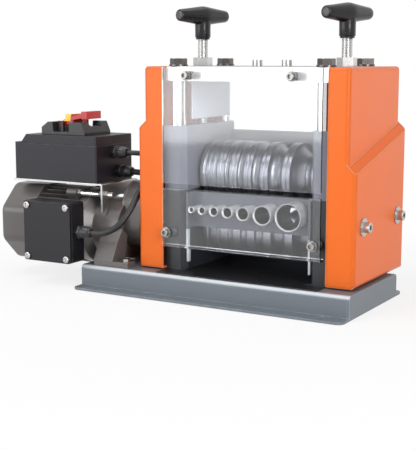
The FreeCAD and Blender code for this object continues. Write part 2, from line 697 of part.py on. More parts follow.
def top_bolts():
    pieces = []
    seat = PLATE_TOP + M12_WASHER_THICKNESS
    for side in SIDES:
        for x, y in rod_places(side):
            washer = round_z(PLATE_TOP, seat, x, y, M12_WASHER_RADIUS)
            washer = washer.cut(round_z(PLATE_TOP - 1, seat + 1, x, y, M12_SHANK_RADIUS + M12_HOLE_CLEARANCE))
            head = hexagon_z(x, y, seat, seat + M12_HEAD_HEIGHT, M12_HEAD_ACROSS_FLATS)
            crown_foot = M12_CROWN_RADIUS + M12_CROWN_SLOPE * M12_HEAD_HEIGHT
            crown = Part.makeCone(crown_foot, M12_CROWN_RADIUS, M12_HEAD_HEIGHT, V(x, y, seat))
            shank = round_z(PLATE_UNDERSIDE - M12_THREAD_DEPTH, seat, x, y, M12_SHANK_RADIUS)
            pieces += [washer, head.common(crown).fuse(shank).removeSplitter()]
    return group(pieces)


def centre_screws():
    screws = []
    for side in SIDES:
        x = HEAD_X + side * CENTRE_SCREW_OFFSET_X
        top = PLATE_TOP + CENTRE_SCREW_HEAD
        head = round_z(PLATE_TOP, top, x, HEAD_Y, CENTRE_SCREW_HEAD_RADIUS)
        shank = round_z(PLATE_UNDERSIDE, PLATE_TOP, x, HEAD_Y, CENTRE_SCREW_RADIUS)
        socket = hexagon_z(x, HEAD_Y, top - CENTRE_SOCKET_DEPTH, top + 1, SOCKET_FLATS)
        screws.append(cut(fuse(head, shank), socket))
    return group(screws)


def lift_nuts():
    nuts = []
    top = PLATE_TOP + LIFT_NUT_HEIGHT
    for side in SIDES:
        x = HEAD_X + side * ROD_OFFSET_X
        nut = hexagon_z(x, HEAD_Y, PLATE_TOP, top, LIFT_NUT_ACROSS_FLATS)
        nuts.append(nut.cut(round_z(PLATE_TOP - 1, top + 1, x, HEAD_Y, SCREW_RADIUS + SLIDING_CLEARANCE)))
    return group(nuts)


def lift_screw(side):
    x = HEAD_X + side * ROD_OFFSET_X
    return round_z(SCREW_FOOT_Z + END_CLEARANCE, GRIP_BAR_Z - GRIP_SCREW_GAP, x, HEAD_Y, SCREW_RADIUS)


def grip(side):
    x = HEAD_X + side * ROD_OFFSET_X
    hub = round_z(GRIP_HUB_Z, GRIP_BAR_Z, x, HEAD_Y, GRIP_HUB_RADIUS)
    lip_z = GRIP_HUB_Z - GRIP_LIP_HEIGHT
    lip = round_z(lip_z, GRIP_HUB_Z, x, HEAD_Y, GRIP_HUB_RADIUS - GRIP_LIP_STEP)
    middle = V(x, HEAD_Y, GRIP_BAR_Z)
    bar = Part.makeSphere(GRIP_MIDDLE_RADIUS + GRIP_MIDDLE_BULGE, middle)
    for t in SIDES:
        end_y = HEAD_Y + t * GRIP_HALF_LENGTH
        cone = Part.makeCone(GRIP_MIDDLE_RADIUS, GRIP_END_RADIUS, GRIP_HALF_LENGTH, middle, V(0, t, 0))
        rim = edges_where(cone, lambda e: abs(e.BoundBox.YMin - end_y) < 0.1 and e.BoundBox.YLength < 0.1)
        bar = bar.fuse(cone.makeFillet(GRIP_END_EDGE, rim))
    bar.rotate(V(x, HEAD_Y, 0), V(0, 0, 1), -GRIP_TURN)
    body = fuse(bar, hub, lip)
    return body.cut(round_z(lip_z - 1, GRIP_BAR_Z - GRIP_SCREW_GAP, x, HEAD_Y, SCREW_RADIUS))


def upper_guard():
    half = GUARD_WIDTH / 2
    z0, z1 = UPPER_GUARD_Z
    sheet = block(HEAD_X - half, HEAD_X + half, GUARD_FRONT_Y, GUARD_BACK_Y, z0, z1)
    radius = GUARD_SCREW_RADIUS + HOLE_CLEARANCE
    holes = [round_y(GUARD_FRONT_Y - 1, GUARD_BACK_Y + 1, HEAD_X + offset, UPPER_SCREW_Z, radius)
             for offset in UPPER_SCREWS]
    return cut(sheet, *holes)


def lower_guard():
    half = GUARD_WIDTH / 2
    z0, z1 = LOWER_GUARD_Z
    sheet = block(HEAD_X - half, HEAD_X + half, GUARD_FRONT_Y, GUARD_BACK_Y, z0, z1)
    lip_y = GUARD_FRONT_Y + GUARD_LIP
    lip = block(HEAD_X - half, HEAD_X + half, GUARD_FRONT_Y, lip_y, z0, z0 + GUARD_THICKNESS)
    bent = fuse(sheet, lip)
    corner = edges_where(bent, lambda e: runs_along(e, "x") and abs(e.BoundBox.YMin - GUARD_FRONT_Y) < 0.1
                         and abs(e.BoundBox.ZMin - z0) < 0.1)
    bent = bent.makeFillet(GUARD_BEND_RADIUS, corner)
    radius = GUARD_SCREW_RADIUS + HOLE_CLEARANCE
    holes = [round_y(GUARD_FRONT_Y - 1, GUARD_BACK_Y + 1, HEAD_X + offset, LOWER_SCREW_Z, radius)
             for offset in LOWER_SCREWS]
    return cut(bent, *holes)


def guard_screw_places():
    upper = [(HEAD_X + offset, UPPER_SCREW_Z, UPPER_SPACER_RADIUS) for offset in UPPER_SCREWS]
    lower = [(HEAD_X + offset, LOWER_SCREW_Z, LOWER_SPACER_RADIUS) for offset in LOWER_SCREWS]
    return upper + lower


def guard_screws():
    pieces = []
    seat = GUARD_FRONT_Y - GUARD_WASHER_THICKNESS
    front = seat - GUARD_HEAD_HEIGHT
    for x, z, _ in guard_screw_places():
        washer = round_y(seat, GUARD_FRONT_Y, x, z, GUARD_WASHER_RADIUS)
        washer = washer.cut(round_y(seat - 1, GUARD_FRONT_Y + 1, x, z, GUARD_SCREW_RADIUS + HOLE_CLEARANCE))
        head = round_y(front, seat, x, z, GUARD_HEAD_RADIUS)
        rim = edges_where(head, lambda e: e.BoundBox.YMax < front + 0.1)
        head = head.makeFillet(GUARD_HEAD_EDGE, rim)
        shank = round_y(seat, BLOCK_FRONT + GUARD_SCREW_DEPTH - 1.0, x, z, GUARD_SCREW_RADIUS)
        corners = [(x + a, z + b) for a, b in regular(6, GUARD_SOCKET_CORNER)]
        socket = prism_y(corners, front - 1, front + GUARD_SOCKET_DEPTH)
        pieces += [washer, cut(fuse(head, shank), socket)]
    return group(pieces)


def guard_spacers():
    pieces = []
    for x, z, radius in guard_screw_places():
        sleeve = round_y(GUARD_BACK_Y, BLOCK_FRONT, x, z, radius)
        bore = round_y(GUARD_BACK_Y - 1, BLOCK_FRONT + 1, x, z, GUARD_SCREW_RADIUS + SPACER_CLEARANCE)
        pieces.append(sleeve.cut(bore))
    return group(pieces)


def bearings(z):
    # each ring has a shallow recess between its races on both faces
    rings = []
    for side in SIDES:
        x0, x1 = bearing_place(side)
        bore = SHAFT_RADIUS + SLIDING_CLEARANCE
        ring = round_x(x0, x1, HEAD_Y, z, BEARING_RADIUS).cut(round_x(x0 - 1, x1 + 1, HEAD_Y, z, bore))
        recess = round_x(x0 - 1, x0 + BEARING_RECESS, HEAD_Y, z, BEARING_RADIUS - BEARING_RING)
        recess = recess.cut(round_x(x0 - 1, x0 + BEARING_RECESS, HEAD_Y, z, bore + BEARING_INNER_RING))
        other = recess.copy()
        other.translate(V(x1 - x0 + 1 - BEARING_RECESS, 0, 0))
        rings.append(cut(ring, recess, other))
    return group(rings)


def involute_gear(module, teeth, x0, x1, y, z, bore, turn):
    # turn is the angle of a tooth's middle, from +Y towards +Z
    pitch = module * teeth / 2
    base = pitch * math.cos(PRESSURE_ANGLE)
    tip = pitch + 0.9 * module
    root = pitch - 1.2 * module
    involute_at_pitch = math.tan(PRESSURE_ANGLE) - PRESSURE_ANGLE
    half = math.pi / (2 * teeth) - BACKLASH / 2 / pitch
    flank = []
    start = max(base, root)
    for i in range(6):
        radius = start + (tip - start) * i / 5
        slope = math.acos(min(1.0, base / radius))
        flank.append((radius, half + involute_at_pitch - (math.tan(slope) - slope)))
    if root < start:
        flank.insert(0, (root, flank[0][1]))
    outline = []
    for tooth in range(teeth):
        middle = turn + 2 * math.pi * tooth / teeth
        outline += [(radius, middle - angle) for radius, angle in flank]
        outline += [(radius, middle + angle) for radius, angle in reversed(flank)]
    points = [(y + r * math.cos(a), z + r * math.sin(a)) for r, a in outline]
    return prism_x(points, x0, x1).cut(round_x(x0 - 1, x1 + 1, y, z, bore))


def pair_gear(z, turn):
    x1 = PAIR_X + PAIR_WIDTH
    gear = involute_gear(PAIR_MODULE, PAIR_TEETH, PAIR_X, x1, HEAD_Y, z, SHAFT_RADIUS, turn)
    recess = round_x(x1 - PAIR_RECESS_DEPTH, x1 + 1, HEAD_Y, z, PAIR_RECESS_RADIUS)
    recess = recess.cut(round_x(PAIR_X, x1 + 1, HEAD_Y, z, PAIR_HUB_RADIUS))
    return gear.cut(recess)


def pair_collar(z):
    x0 = HEAD_X + BLOCK_OUTER + END_CLEARANCE
    collar = round_x(x0, PAIR_X, HEAD_Y, z, SHAFT_RADIUS + PAIR_COLLAR_WALL)
    return collar.cut(round_x(x0 - 1, PAIR_X + 1, HEAD_Y, z, SHAFT_RADIUS))


def groove(x, z, surface, size):
    # round groove for one wire, its axis on the nip plane, turned about the shaft
    return Part.makeTorus(surface + NIP_GAP / 2, size / 2, V(x, HEAD_Y, z), V(1, 0, 0))


def feed_roller():
    # seven grooved rings and two plain hubs, pressed on the lower shaft
    rings = []
    for x, width, size in zip(CHANNEL_X, CHANNEL_WIDTHS, WIRE_SIZES):
        x0 = x - width / 2
        x1 = x + width / 2
        bore = round_x(x0 - 1, x1 + 1, HEAD_Y, LOWER_SHAFT_Z, SHAFT_RADIUS)
        ring = round_x(x0, x1, HEAD_Y, LOWER_SHAFT_Z, FEED_RADIUS)
        rings.append(cut(ring, bore, groove(x, LOWER_SHAFT_Z, FEED_RADIUS, size)))
    for x0, x1 in ((HEAD_X - HUB_REACH, STACK_START), (STACK_END, HEAD_X + HUB_REACH)):
        hub = round_x(x0, x1, HEAD_Y, LOWER_SHAFT_Z, SHAFT_RADIUS + FEED_HUB_WALL)
        rings.append(hub.cut(round_x(x0 - 1, x1 + 1, HEAD_Y, LOWER_SHAFT_Z, SHAFT_RADIUS)))
    return group(rings)


def cutter_wheels():
    wheels = []
    for x, width, size in zip(CHANNEL_X, CHANNEL_WIDTHS, WIRE_SIZES):
        ring = groove(x, UPPER_SHAFT_Z, WHEEL_RADIUS, size)
        bore = round_x(x - width, x + width, HEAD_Y, UPPER_SHAFT_Z, SHAFT_RADIUS)
        for side in SIDES:
            near = x + side * BLADE_THICKNESS / 2
            far = x + side * width / 2
            half = round_x(min(near, far), max(near, far), HEAD_Y, UPPER_SHAFT_Z, WHEEL_RADIUS)
            rim = edges_where(half, lambda e: abs(e.BoundBox.XMin - far) < 0.1 and e.BoundBox.XLength < 0.1)
            half = half.makeChamfer(WHEEL_EDGE, rim)
            wheels.append(cut(half, ring, bore))
    return group(wheels)


def blade_radius(size):
    return WHEEL_RADIUS + NIP_GAP / 2 - size / 2 + BLADE_BITE


def blades():
    discs = []
    half = BLADE_THICKNESS / 2
    for x, size in zip(CHANNEL_X, WIRE_SIZES):
        radius = blade_radius(size)
        body = round_x(x - half, x + half, HEAD_Y, UPPER_SHAFT_Z, radius - BLADE_BITE)
        for side in SIDES:
            edge = Part.makeCone(radius - BLADE_BITE, radius, half, V(x - side * half, HEAD_Y, UPPER_SHAFT_Z),
                                 V(side, 0, 0))
            body = body.fuse(edge)
        bore = round_x(x - BLADE_THICKNESS, x + BLADE_THICKNESS, HEAD_Y, UPPER_SHAFT_Z, SHAFT_RADIUS)
        discs.append(cut(body.removeSplitter(), bore))
    return group(discs)


def lock_nuts():
    nuts = []
    for x0, x1 in ((HEAD_X - HUB_REACH, STACK_START), (STACK_END, HEAD_X + HUB_REACH)):
        nut = hexagon_x(x0, x1, HEAD_Y, UPPER_SHAFT_Z, LOCK_NUT_FLATS)
        nuts.append(nut.cut(round_x(x0 - 1, x1 + 1, HEAD_Y, UPPER_SHAFT_Z, SHAFT_RADIUS)))
    return group(nuts)


def shaft(x0, z):
    bar = round_x(x0, SHAFT_END_X, HEAD_Y, z, SHAFT_RADIUS)
    return bar.makeChamfer(SHAFT_CHAMFER, edges_where(bar, lambda e: e.BoundBox.XLength < 0.1))


def inlet_plate():
    half = CLEAR_WIDTH / 2
    z0, z1 = INLET_PLATE_Z
    y1 = INLET_PLATE_Y + INLET_PLATE_THICKNESS
    plate = block(HEAD_X - half, HEAD_X + half, INLET_PLATE_Y, y1, z0, z1)
    ears = []
    for side in SIDES:
        x0, x1 = sorted((HEAD_X + side * half, HEAD_X + side * (half - INLET_EAR_THICKNESS)))
        ears.append(block(x0, x1, INLET_EAR_Y, INLET_PLATE_Y, z0, z1))
        ears.append(block(x0, x1, INLET_EAR_Y, INLET_EAR_Y + INLET_LEG_WIDTH, z0 - INLET_LEG_LENGTH, z0))
    plate = fuse(plate, *ears)
    holes = [round_y(INLET_PLATE_Y - 1, y1 + 1, x, NIP_Z, size / 2 + TUBE_WALL)
             for x, size in zip(CHANNEL_X, WIRE_SIZES)]
    return cut(plate, *holes)


def inlet_tubes():
    tubes = []
    for x, size in zip(CHANNEL_X, WIRE_SIZES):
        bore = size / 2
        tube = round_y(TUBE_FRONT_Y, TUBE_BACK_Y, x, NIP_Z, bore + TUBE_WALL)
        flare = Part.makeCone(bore + TUBE_WALL * 0.8, bore, TUBE_FLARE, V(x, TUBE_FRONT_Y, NIP_Z), V(0, 1, 0))
        tubes.append(cut(tube, round_y(TUBE_FRONT_Y - 1, TUBE_BACK_Y + 1, x, NIP_Z, bore), flare))
    return group(tubes)


def cross_panel(z0, z1):
    half = CLEAR_WIDTH / 2
    return block(HEAD_X - half, HEAD_X + half, CARRIAGE_PANEL_Y, CARRIAGE_PANEL_Y + PANEL_THICKNESS, z0, z1)


def cover_solid(inset):
    # right-hand cover as a full body, smaller all round by the inset
    y0 = HEAD_Y - COVER_DEPTH / 2 + inset
    y1 = HEAD_Y + COVER_DEPTH / 2 - inset
    z0 = COVER_BOTTOM_Z + inset
    z1 = PLATE_TOP - inset
    inner = HEAD_X + COVER_INNER - (COVER_LIP if inset else 0.0)
    upper = HEAD_X + COVER_UPPER - inset
    lower = HEAD_X + COVER_LOWER - inset
    top = block(inner, upper, y0, y1, z0, z1)
    front = BEVEL_FRONT_Z - inset * BEVEL_LEAN
    rear = BEVEL_REAR_Z - inset * BEVEL_LEAN
    wide = [(y0, z0), (y1, z0), (y1, rear + BEVEL_HEIGHT), (y0, front + BEVEL_HEIGHT)]
    narrow = [(y0, z0), (y1, z0), (y1, rear), (y0, front)]
    back_wire = Part.makePolygon([V(upper, y, z) for y, z in wide + wide[:1]])
    front_wire = Part.makePolygon([V(lower, y, z) for y, z in narrow + narrow[:1]])
    bulge = Part.makeLoft([back_wire, front_wire], True, True)
    skirt = block(inner, upper, y0, y1, z0, front)
    return fuse(top, bulge, skirt)


def cover_blank():
    outer = cover_solid(0.0)
    far = HEAD_X + COVER_LOWER
    upper = HEAD_X + COVER_UPPER
    y0 = HEAD_Y - COVER_DEPTH / 2
    y1 = HEAD_Y + COVER_DEPTH / 2

    def outside_corner(edge):
        middle = edge.valueAt((edge.FirstParameter + edge.LastParameter) / 2)
        on_side = abs(middle.x - far) < 0.1 or abs(middle.x - upper) < 0.1
        at_corner = abs(middle.y - y0) < 0.1 or abs(middle.y - y1) < 0.1
        vertical = runs_along(edge, "z") and on_side and at_corner
        ledge = runs_along(edge, "y") and abs(middle.z - PLATE_TOP) < 0.1 and abs(middle.x - upper) < 0.1
        sill = runs_along(edge, "y") and abs(middle.z - COVER_BOTTOM_Z) < 0.1 and abs(middle.x - far) < 0.1
        return vertical or ledge or sill

    def end_corner(edge):
        middle = edge.valueAt((edge.FirstParameter + edge.LastParameter) / 2)
        at_end = abs(middle.y - y0) < 0.1 or abs(middle.y - y1) < 0.1
        return runs_along(edge, "x") and at_end and middle.z > PLATE_TOP - 0.1

    corners = edges_where(outer, outside_corner) + edges_where(outer, end_corner)
    rounded = outer.makeFillet(COVER_CORNER_RADIUS, corners)
    return rounded.cut(cover_solid(COVER_SHEET))


def side_cover(side):
    shell = cover_blank()
    if side < 0:
        shell.rotate(V(HEAD_X, HEAD_Y, 0), V(0, 0, 1), 180)
    face = HEAD_X + side * COVER_LOWER
    for t in SIDES:
        y = HEAD_Y + t * COVER_BOLT_OFFSET_Y
        span = sorted((face - side * 2 * COVER_SHEET, face + side))
        shell = shell.cut(round_x(span[0], span[1], y, COVER_BOLT_Z, COVER_BOLT_RADIUS + BOLT_CLEARANCE))
    reach = sorted((HEAD_X + side * (BLOCK_OUTER - COVER_NOTCH), HEAD_X + side * (BLOCK_OUTER + PLATE_GAP)))
    notch_y = (BLOCK_FRONT - PLATE_GAP, BLOCK_REAR + PLATE_GAP)
    shell = shell.cut(block(reach[0], reach[1], notch_y[0], notch_y[1], 0, BEVEL_FRONT_Z))
    if side < 0:
        radius = SHAFT_RADIUS + COVER_SHAFT_HOLE_WALL
        shell = shell.cut(round_x(face - 1, face + 2 * COVER_SHEET, HEAD_Y, LOWER_SHAFT_Z, radius))
    return shell


def cover_bolts():
    pieces = []
    z = COVER_BOLT_Z
    for side in SIDES:
        face = HEAD_X + side * COVER_LOWER
        seat = face + side * COVER_WASHER_THICKNESS
        end = seat + side * COVER_BOLT_HEAD
        tip = HEAD_X + side * (BLOCK_OUTER - COVER_BOLT_DEPTH + 1)
        washer_x = sorted((face, seat))
        shank_x = sorted((tip, seat))
        head_x = sorted((seat, end))
        socket_x = sorted((end - side * SOCKET_DEPTH, end + side))
        sleeve_x = sorted((HEAD_X + side * BLOCK_OUTER, face - side * COVER_SHEET))
        for t in SIDES:
            y = HEAD_Y + t * COVER_BOLT_OFFSET_Y
            washer = round_x(washer_x[0], washer_x[1], y, z, COVER_WASHER_RADIUS)
            hole = COVER_BOLT_RADIUS + BOLT_CLEARANCE
            washer = washer.cut(round_x(washer_x[0] - 1, washer_x[1] + 1, y, z, hole))
            shank = round_x(shank_x[0], shank_x[1], y, z, COVER_BOLT_RADIUS)
            head = round_x(head_x[0], head_x[1], y, z, COVER_BOLT_HEAD_RADIUS)
            rim = edges_where(head, lambda e: abs(e.BoundBox.XMin - end) < 0.1 and e.BoundBox.XLength < 0.1)
            head = head.makeFillet(GUARD_HEAD_EDGE, rim)
            socket = hexagon_x(socket_x[0], socket_x[1], y, z, SOCKET_FLATS)
            sleeve = round_x(sleeve_x[0], sleeve_x[1], y, z, COVER_SLEEVE_RADIUS)
            bore = round_x(sleeve_x[0] - 1, sleeve_x[1] + 1, y, z, COVER_BOLT_RADIUS + SPACER_CLEARANCE)
            pieces += [washer, cut(fuse(head, shank), socket), sleeve.cut(bore)]
    return group(pieces)


def octagon_x(x0, x1, flats):
    corners = regular(8, flats / 2 / math.cos(math.pi / 8), math.pi / 8)
    return prism_x([(MOTOR_Y + a, MOTOR_Z + b) for a, b in corners], x0, x1)


def fan_cover():
    # eight-sided shell, and a round slotted grille set in its back
    x0, x1 = FAN_COVER_X
    outer = octagon_x(x0, x1, FAN_COVER_FLATS)
    outer = outer.makeFillet(FAN_COVER_CORNER, edges_where(outer, lambda e: runs_along(e, "x")))
    back = edges_where(outer, lambda e: e.BoundBox.XMax < x0 + 0.1)
    outer = outer.makeFillet(FAN_COVER_EDGE, back)
    hollow = octagon_x(x0 + FAN_COVER_WALL, x1 + 1, FAN_COVER_FLATS - 2 * FAN_COVER_WALL)
    inner_corner = FAN_COVER_CORNER - FAN_COVER_WALL
    hollow = hollow.makeFillet(inner_corner, edges_where(hollow, lambda e: runs_along(e, "x")))
    rim = edges_where(hollow, lambda e: e.BoundBox.XMax < x0 + FAN_COVER_WALL + 0.1)
    hollow = hollow.makeFillet(FAN_COVER_EDGE - FAN_COVER_WALL / 2, rim)
    seat = round_x(x0 - 1, x0 + FAN_COVER_WALL, MOTOR_Y, MOTOR_Z, GRILLE_REACH + GRILLE_RIM)
    shell = cut(outer, hollow, seat)
    grille = round_x(x0, x0 + FAN_COVER_WALL, MOTOR_Y, MOTOR_Z, GRILLE_REACH + GRILLE_RIM)
    slots = []
    for row in range(-4, 5):
        away = row * GRILLE_PITCH
        y = MOTOR_Y + away
        reach = math.sqrt(GRILLE_REACH ** 2 - away ** 2)
        slots.append(block(x0 - 1, x0 + 2 * FAN_COVER_WALL, y - GRILLE_SLOT / 2, y + GRILLE_SLOT / 2,
                           MOTOR_Z - reach, MOTOR_Z + reach))
    grille = cut(grille, *slots)
    bars = []
    for offset in (-GRILLE_BAR_OFFSET, 0.0, GRILLE_BAR_OFFSET):
        z = MOTOR_Z + offset
        reach = math.sqrt(GRILLE_REACH ** 2 - offset ** 2)
        bars.append(block(x0, x0 + FAN_COVER_WALL, MOTOR_Y - reach, MOTOR_Y + reach,
                          z - GRILLE_BAR_WIDTH / 2, z + GRILLE_BAR_WIDTH / 2))
    return group([shell, fuse(grille, *bars)])


def motor_frame():
    x0, x1 = FRAME_X
    outline = []
    for fin in range(FIN_COUNT):
        middle = 2 * math.pi * (fin + 0.5) / FIN_COUNT
        root_half = FIN_THICKNESS / 2 / FRAME_RADIUS
        tip_half = FIN_THICKNESS / 2 / FIN_RADIUS * 0.8
        for radius, angle in ((FRAME_RADIUS, middle - root_half), (FIN_RADIUS, middle - tip_half),
                              (FIN_RADIUS, middle + tip_half), (FRAME_RADIUS, middle + root_half)):
            outline.append((MOTOR_Y + radius * math.cos(angle), MOTOR_Z + radius * math.sin(angle)))
    body = prism_x(outline, x0, x1)
    collar = round_x(x0 - FRAME_SPIGOT, x0 + FRAME_COLLAR, MOTOR_Y, MOTOR_Z, FRAME_RADIUS + FRAME_WALL)
    ears = octagon_x(x0 - FRAME_COLLAR, x0, FAN_COVER_FLATS - 2 * FAN_COVER_WALL - 2 * SEAT_CLEARANCE)
    ear_corner = FAN_COVER_CORNER - FAN_COVER_WALL - SEAT_CLEARANCE
    ears = ears.makeFillet(ear_corner, edges_where(ears, lambda e: runs_along(e, "x")))
    pad = block(TERMINAL_X[0] + PAD_INSET_X[0], TERMINAL_X[1] - PAD_INSET_X[1], TERMINAL_Y[1],
                MOTOR_Y - FRAME_RADIUS + PAD_OVERLAP,
                TERMINAL_Z[0] + PAD_INSET_Z, TERMINAL_Z[1] - PAD_INSET_Z)
    body = fuse(body, collar, ears, pad)
    for y in stud_places():
        lug = round_x(x1 - LUG_SETBACK - LUG_LENGTH, x1 - LUG_SETBACK, y, STUD_Z, LUG_RADIUS)
        body = body.fuse([lug, lug_web(y)])
    body = body.removeSplitter()
    bore = round_x(x0 + FRAME_WALL, x1 + 1, MOTOR_Y, MOTOR_Z, FRAME_BORE)
    near = x0 - FRAME_SPIGOT - 1
    far = x0 + FRAME_WALL + 1
    journal = round_x(near, far, MOTOR_Y, MOTOR_Z, ROTOR_SHAFT_RADIUS + SLIDING_CLEARANCE)
    studs = [round_x(x1 - LUG_SETBACK - STUD_DEPTH, x1 + 1, y, STUD_Z, STUD_RADIUS) for y in stud_places()]
    return cut(body, bore, journal, *studs)


def lug_web(y):
    # joins a stud's round lug to the barrel of the frame
    x0 = FRAME_X[1] - LUG_SETBACK - LUG_LENGTH
    span = V(0, y - MOTOR_Y, STUD_Z - MOTOR_Z).normalize()
    across = V(0, -span.z, span.y) * LUG_RADIUS
    foot = V(x0, MOTOR_Y, MOTOR_Z) + span * (FRAME_RADIUS - LUG_OVERLAP)
    top = V(x0, y, STUD_Z)
    corners = [foot - across, foot + across, top + across, top - across]
    return prism([(c.x, c.y, c.z) for c in corners], (LUG_LENGTH, 0, 0))


def stator():
    x0 = FRAME_X[0] + STATOR_GAP[0]
    x1 = FRAME_X[1] - STATOR_GAP[1]
    ring = round_x(x0, x1, MOTOR_Y, MOTOR_Z, FRAME_BORE)
    return ring.cut(round_x(x0 - 1, x1 + 1, MOTOR_Y, MOTOR_Z, ROTOR_RADIUS + AIR_GAP))


def rotor(pinion_turn):
    x0, x1 = STAGE_ONE_X
    shaft_radius = ROTOR_SHAFT_RADIUS - ROTOR_STEP
    bar = round_x(FAN_COVER_X[0] + FAN_START, x1, MOTOR_Y, MOTOR_Z, shaft_radius)
    journal = round_x(FRAME_X[0] - FRAME_SPIGOT - 2, x0, MOTOR_Y, MOTOR_Z, ROTOR_SHAFT_RADIUS)
    core = round_x(FRAME_X[0] + STATOR_GAP[0] + ROTOR_END_GAP, FRAME_X[1] - STATOR_GAP[1] - ROTOR_END_GAP,
                   MOTOR_Y, MOTOR_Z, ROTOR_RADIUS)
    bore = shaft_radius - ROTOR_STEP
    teeth = STAGE_ONE_TEETH[0]
    pinion = involute_gear(STAGE_ONE_MODULE, teeth, x0, x1, MOTOR_Y, MOTOR_Z, bore, pinion_turn)
    return fuse(bar, journal, core, pinion)


def cooling_fan():
    x0 = FAN_COVER_X[0] + FAN_START
    x1 = x0 + FAN_LENGTH
    half = FAN_BLADE_THICKNESS / 2
    fan = round_x(x0, x1, MOTOR_Y, MOTOR_Z, FAN_HUB_RADIUS)
    fan = fan.fuse(round_x(x1 - FAN_DISC, x1, MOTOR_Y, MOTOR_Z, FAN_RADIUS))
    for i in range(FAN_BLADES):
        vane = block(x0 + FAN_DISC + 1, x1 - FAN_DISC / 2, MOTOR_Y - half, MOTOR_Y + half,
                     MOTOR_Z + FAN_HUB_RADIUS - half, MOTOR_Z + FAN_RADIUS)
        vane.rotate(V(0, MOTOR_Y, MOTOR_Z), V(1, 0, 0), 360.0 * i / FAN_BLADES)
        fan = fan.fuse(vane)
    bore = round_x(x0 - 1, x1 + 1, MOTOR_Y, MOTOR_Z, ROTOR_SHAFT_RADIUS - ROTOR_STEP)
    return fan.removeSplitter().cut(bore)


# Axes of the reducer: motor, middle shaft above it, lower shaft
FIRST_DISTANCE = STAGE_ONE_MODULE * sum(STAGE_ONE_TEETH) / 2
SECOND_DISTANCE = STAGE_TWO_MODULE * sum(STAGE_TWO_TEETH) / 2
AXIS_Y = HEAD_Y - MOTOR_Y
AXIS_Z = LOWER_SHAFT_Z - MOTOR_Z
AXIS_DISTANCE = math.hypot(AXIS_Y, AXIS_Z)
ALONG = (FIRST_DISTANCE ** 2 - SECOND_DISTANCE ** 2 + AXIS_DISTANCE ** 2) / (2 * AXIS_DISTANCE)
ACROSS = math.sqrt(FIRST_DISTANCE ** 2 - ALONG ** 2)
MIDDLE_Y = MOTOR_Y + (ALONG * AXIS_Y - ACROSS * AXIS_Z) / AXIS_DISTANCE
MIDDLE_Z = MOTOR_Z + (ALONG * AXIS_Z + ACROSS * AXIS_Y) / AXIS_DISTANCE


def mesh_turn(teeth, direction, mate_turn, mate_teeth):
    # a tooth gap of this wheel faces the mate's tooth that lies nearest the line of centres
    back = direction + math.pi
    offset = (back - mate_turn) * mate_teeth / teeth
    return direction + offset + math.pi / teeth


def reducer_profile(extra, x0, x1):
    axes = ((MOTOR_Y, MOTOR_Z), (MIDDLE_Y, MIDDLE_Z), (HEAD_Y, LOWER_SHAFT_Z))
    circles = [(y, z, radius) for (y, z), radius in zip(axes, REDUCER_RADII)]
    body = prism_x(list(axes), x0, x1)
    for i in range(3):
        y0, z0, r0 = circles[i]
        y1, z1, r1 = circles[(i + 1) % 3]
        disc = round_x(x0, x1, y0, z0, r0 + extra)
        distance = math.hypot(y1 - y0, z1 - z0)
        heading = math.atan2(z1 - z0, y1 - y0)
        lean = math.acos((r0 - r1) / distance)
        corners = []
        for sign in SIDES:
            angle = heading + sign * lean
            near = (y0 + (r0 + extra) * math.cos(angle), z0 + (r0 + extra) * math.sin(angle))
            far = (y1 + (r1 + extra) * math.cos(angle), z1 + (r1 + extra) * math.sin(angle))
            corners.append((near, far))
        web = prism_x([corners[0][0], corners[0][1], corners[1][1], corners[1][0]], x0, x1)
        body = body.fuse([disc, web])
    return body.removeSplitter()


def reducer_housing():
    x0, x1 = REDUCER_X
    inside = x1 - REDUCER_WALL
    outer = reducer_profile(REDUCER_WALL, x0, x1)
    shell = outer.cut(reducer_profile(0.0, x0 - 1, inside))
    shaft_hole = round_x(inside - 1, x1 + 1, HEAD_Y, LOWER_SHAFT_Z, SHAFT_RADIUS + SLIDING_CLEARANCE)
    seat_end = inside + MIDDLE_SHAFT_SEAT
    pivot = round_x(inside - 1, seat_end, MIDDLE_Y, MIDDLE_Z, MIDDLE_SHAFT_RADIUS + SLIDING_CLEARANCE)
    return cut(shell, shaft_hole, pivot)


def foot_profile(side):
    return [(MOTOR_Y + side * (FOOT_SPREAD - inward), BASE_HEIGHT + up) for inward, up in FOOT_PROFILE]


def foot_bolt_places():
    x = FOOT_X + FOOT_BOLT_INSET[0]
    return [(x, MOTOR_Y + side * (FOOT_SPREAD - FOOT_BOLT_INSET[1])) for side in SIDES]


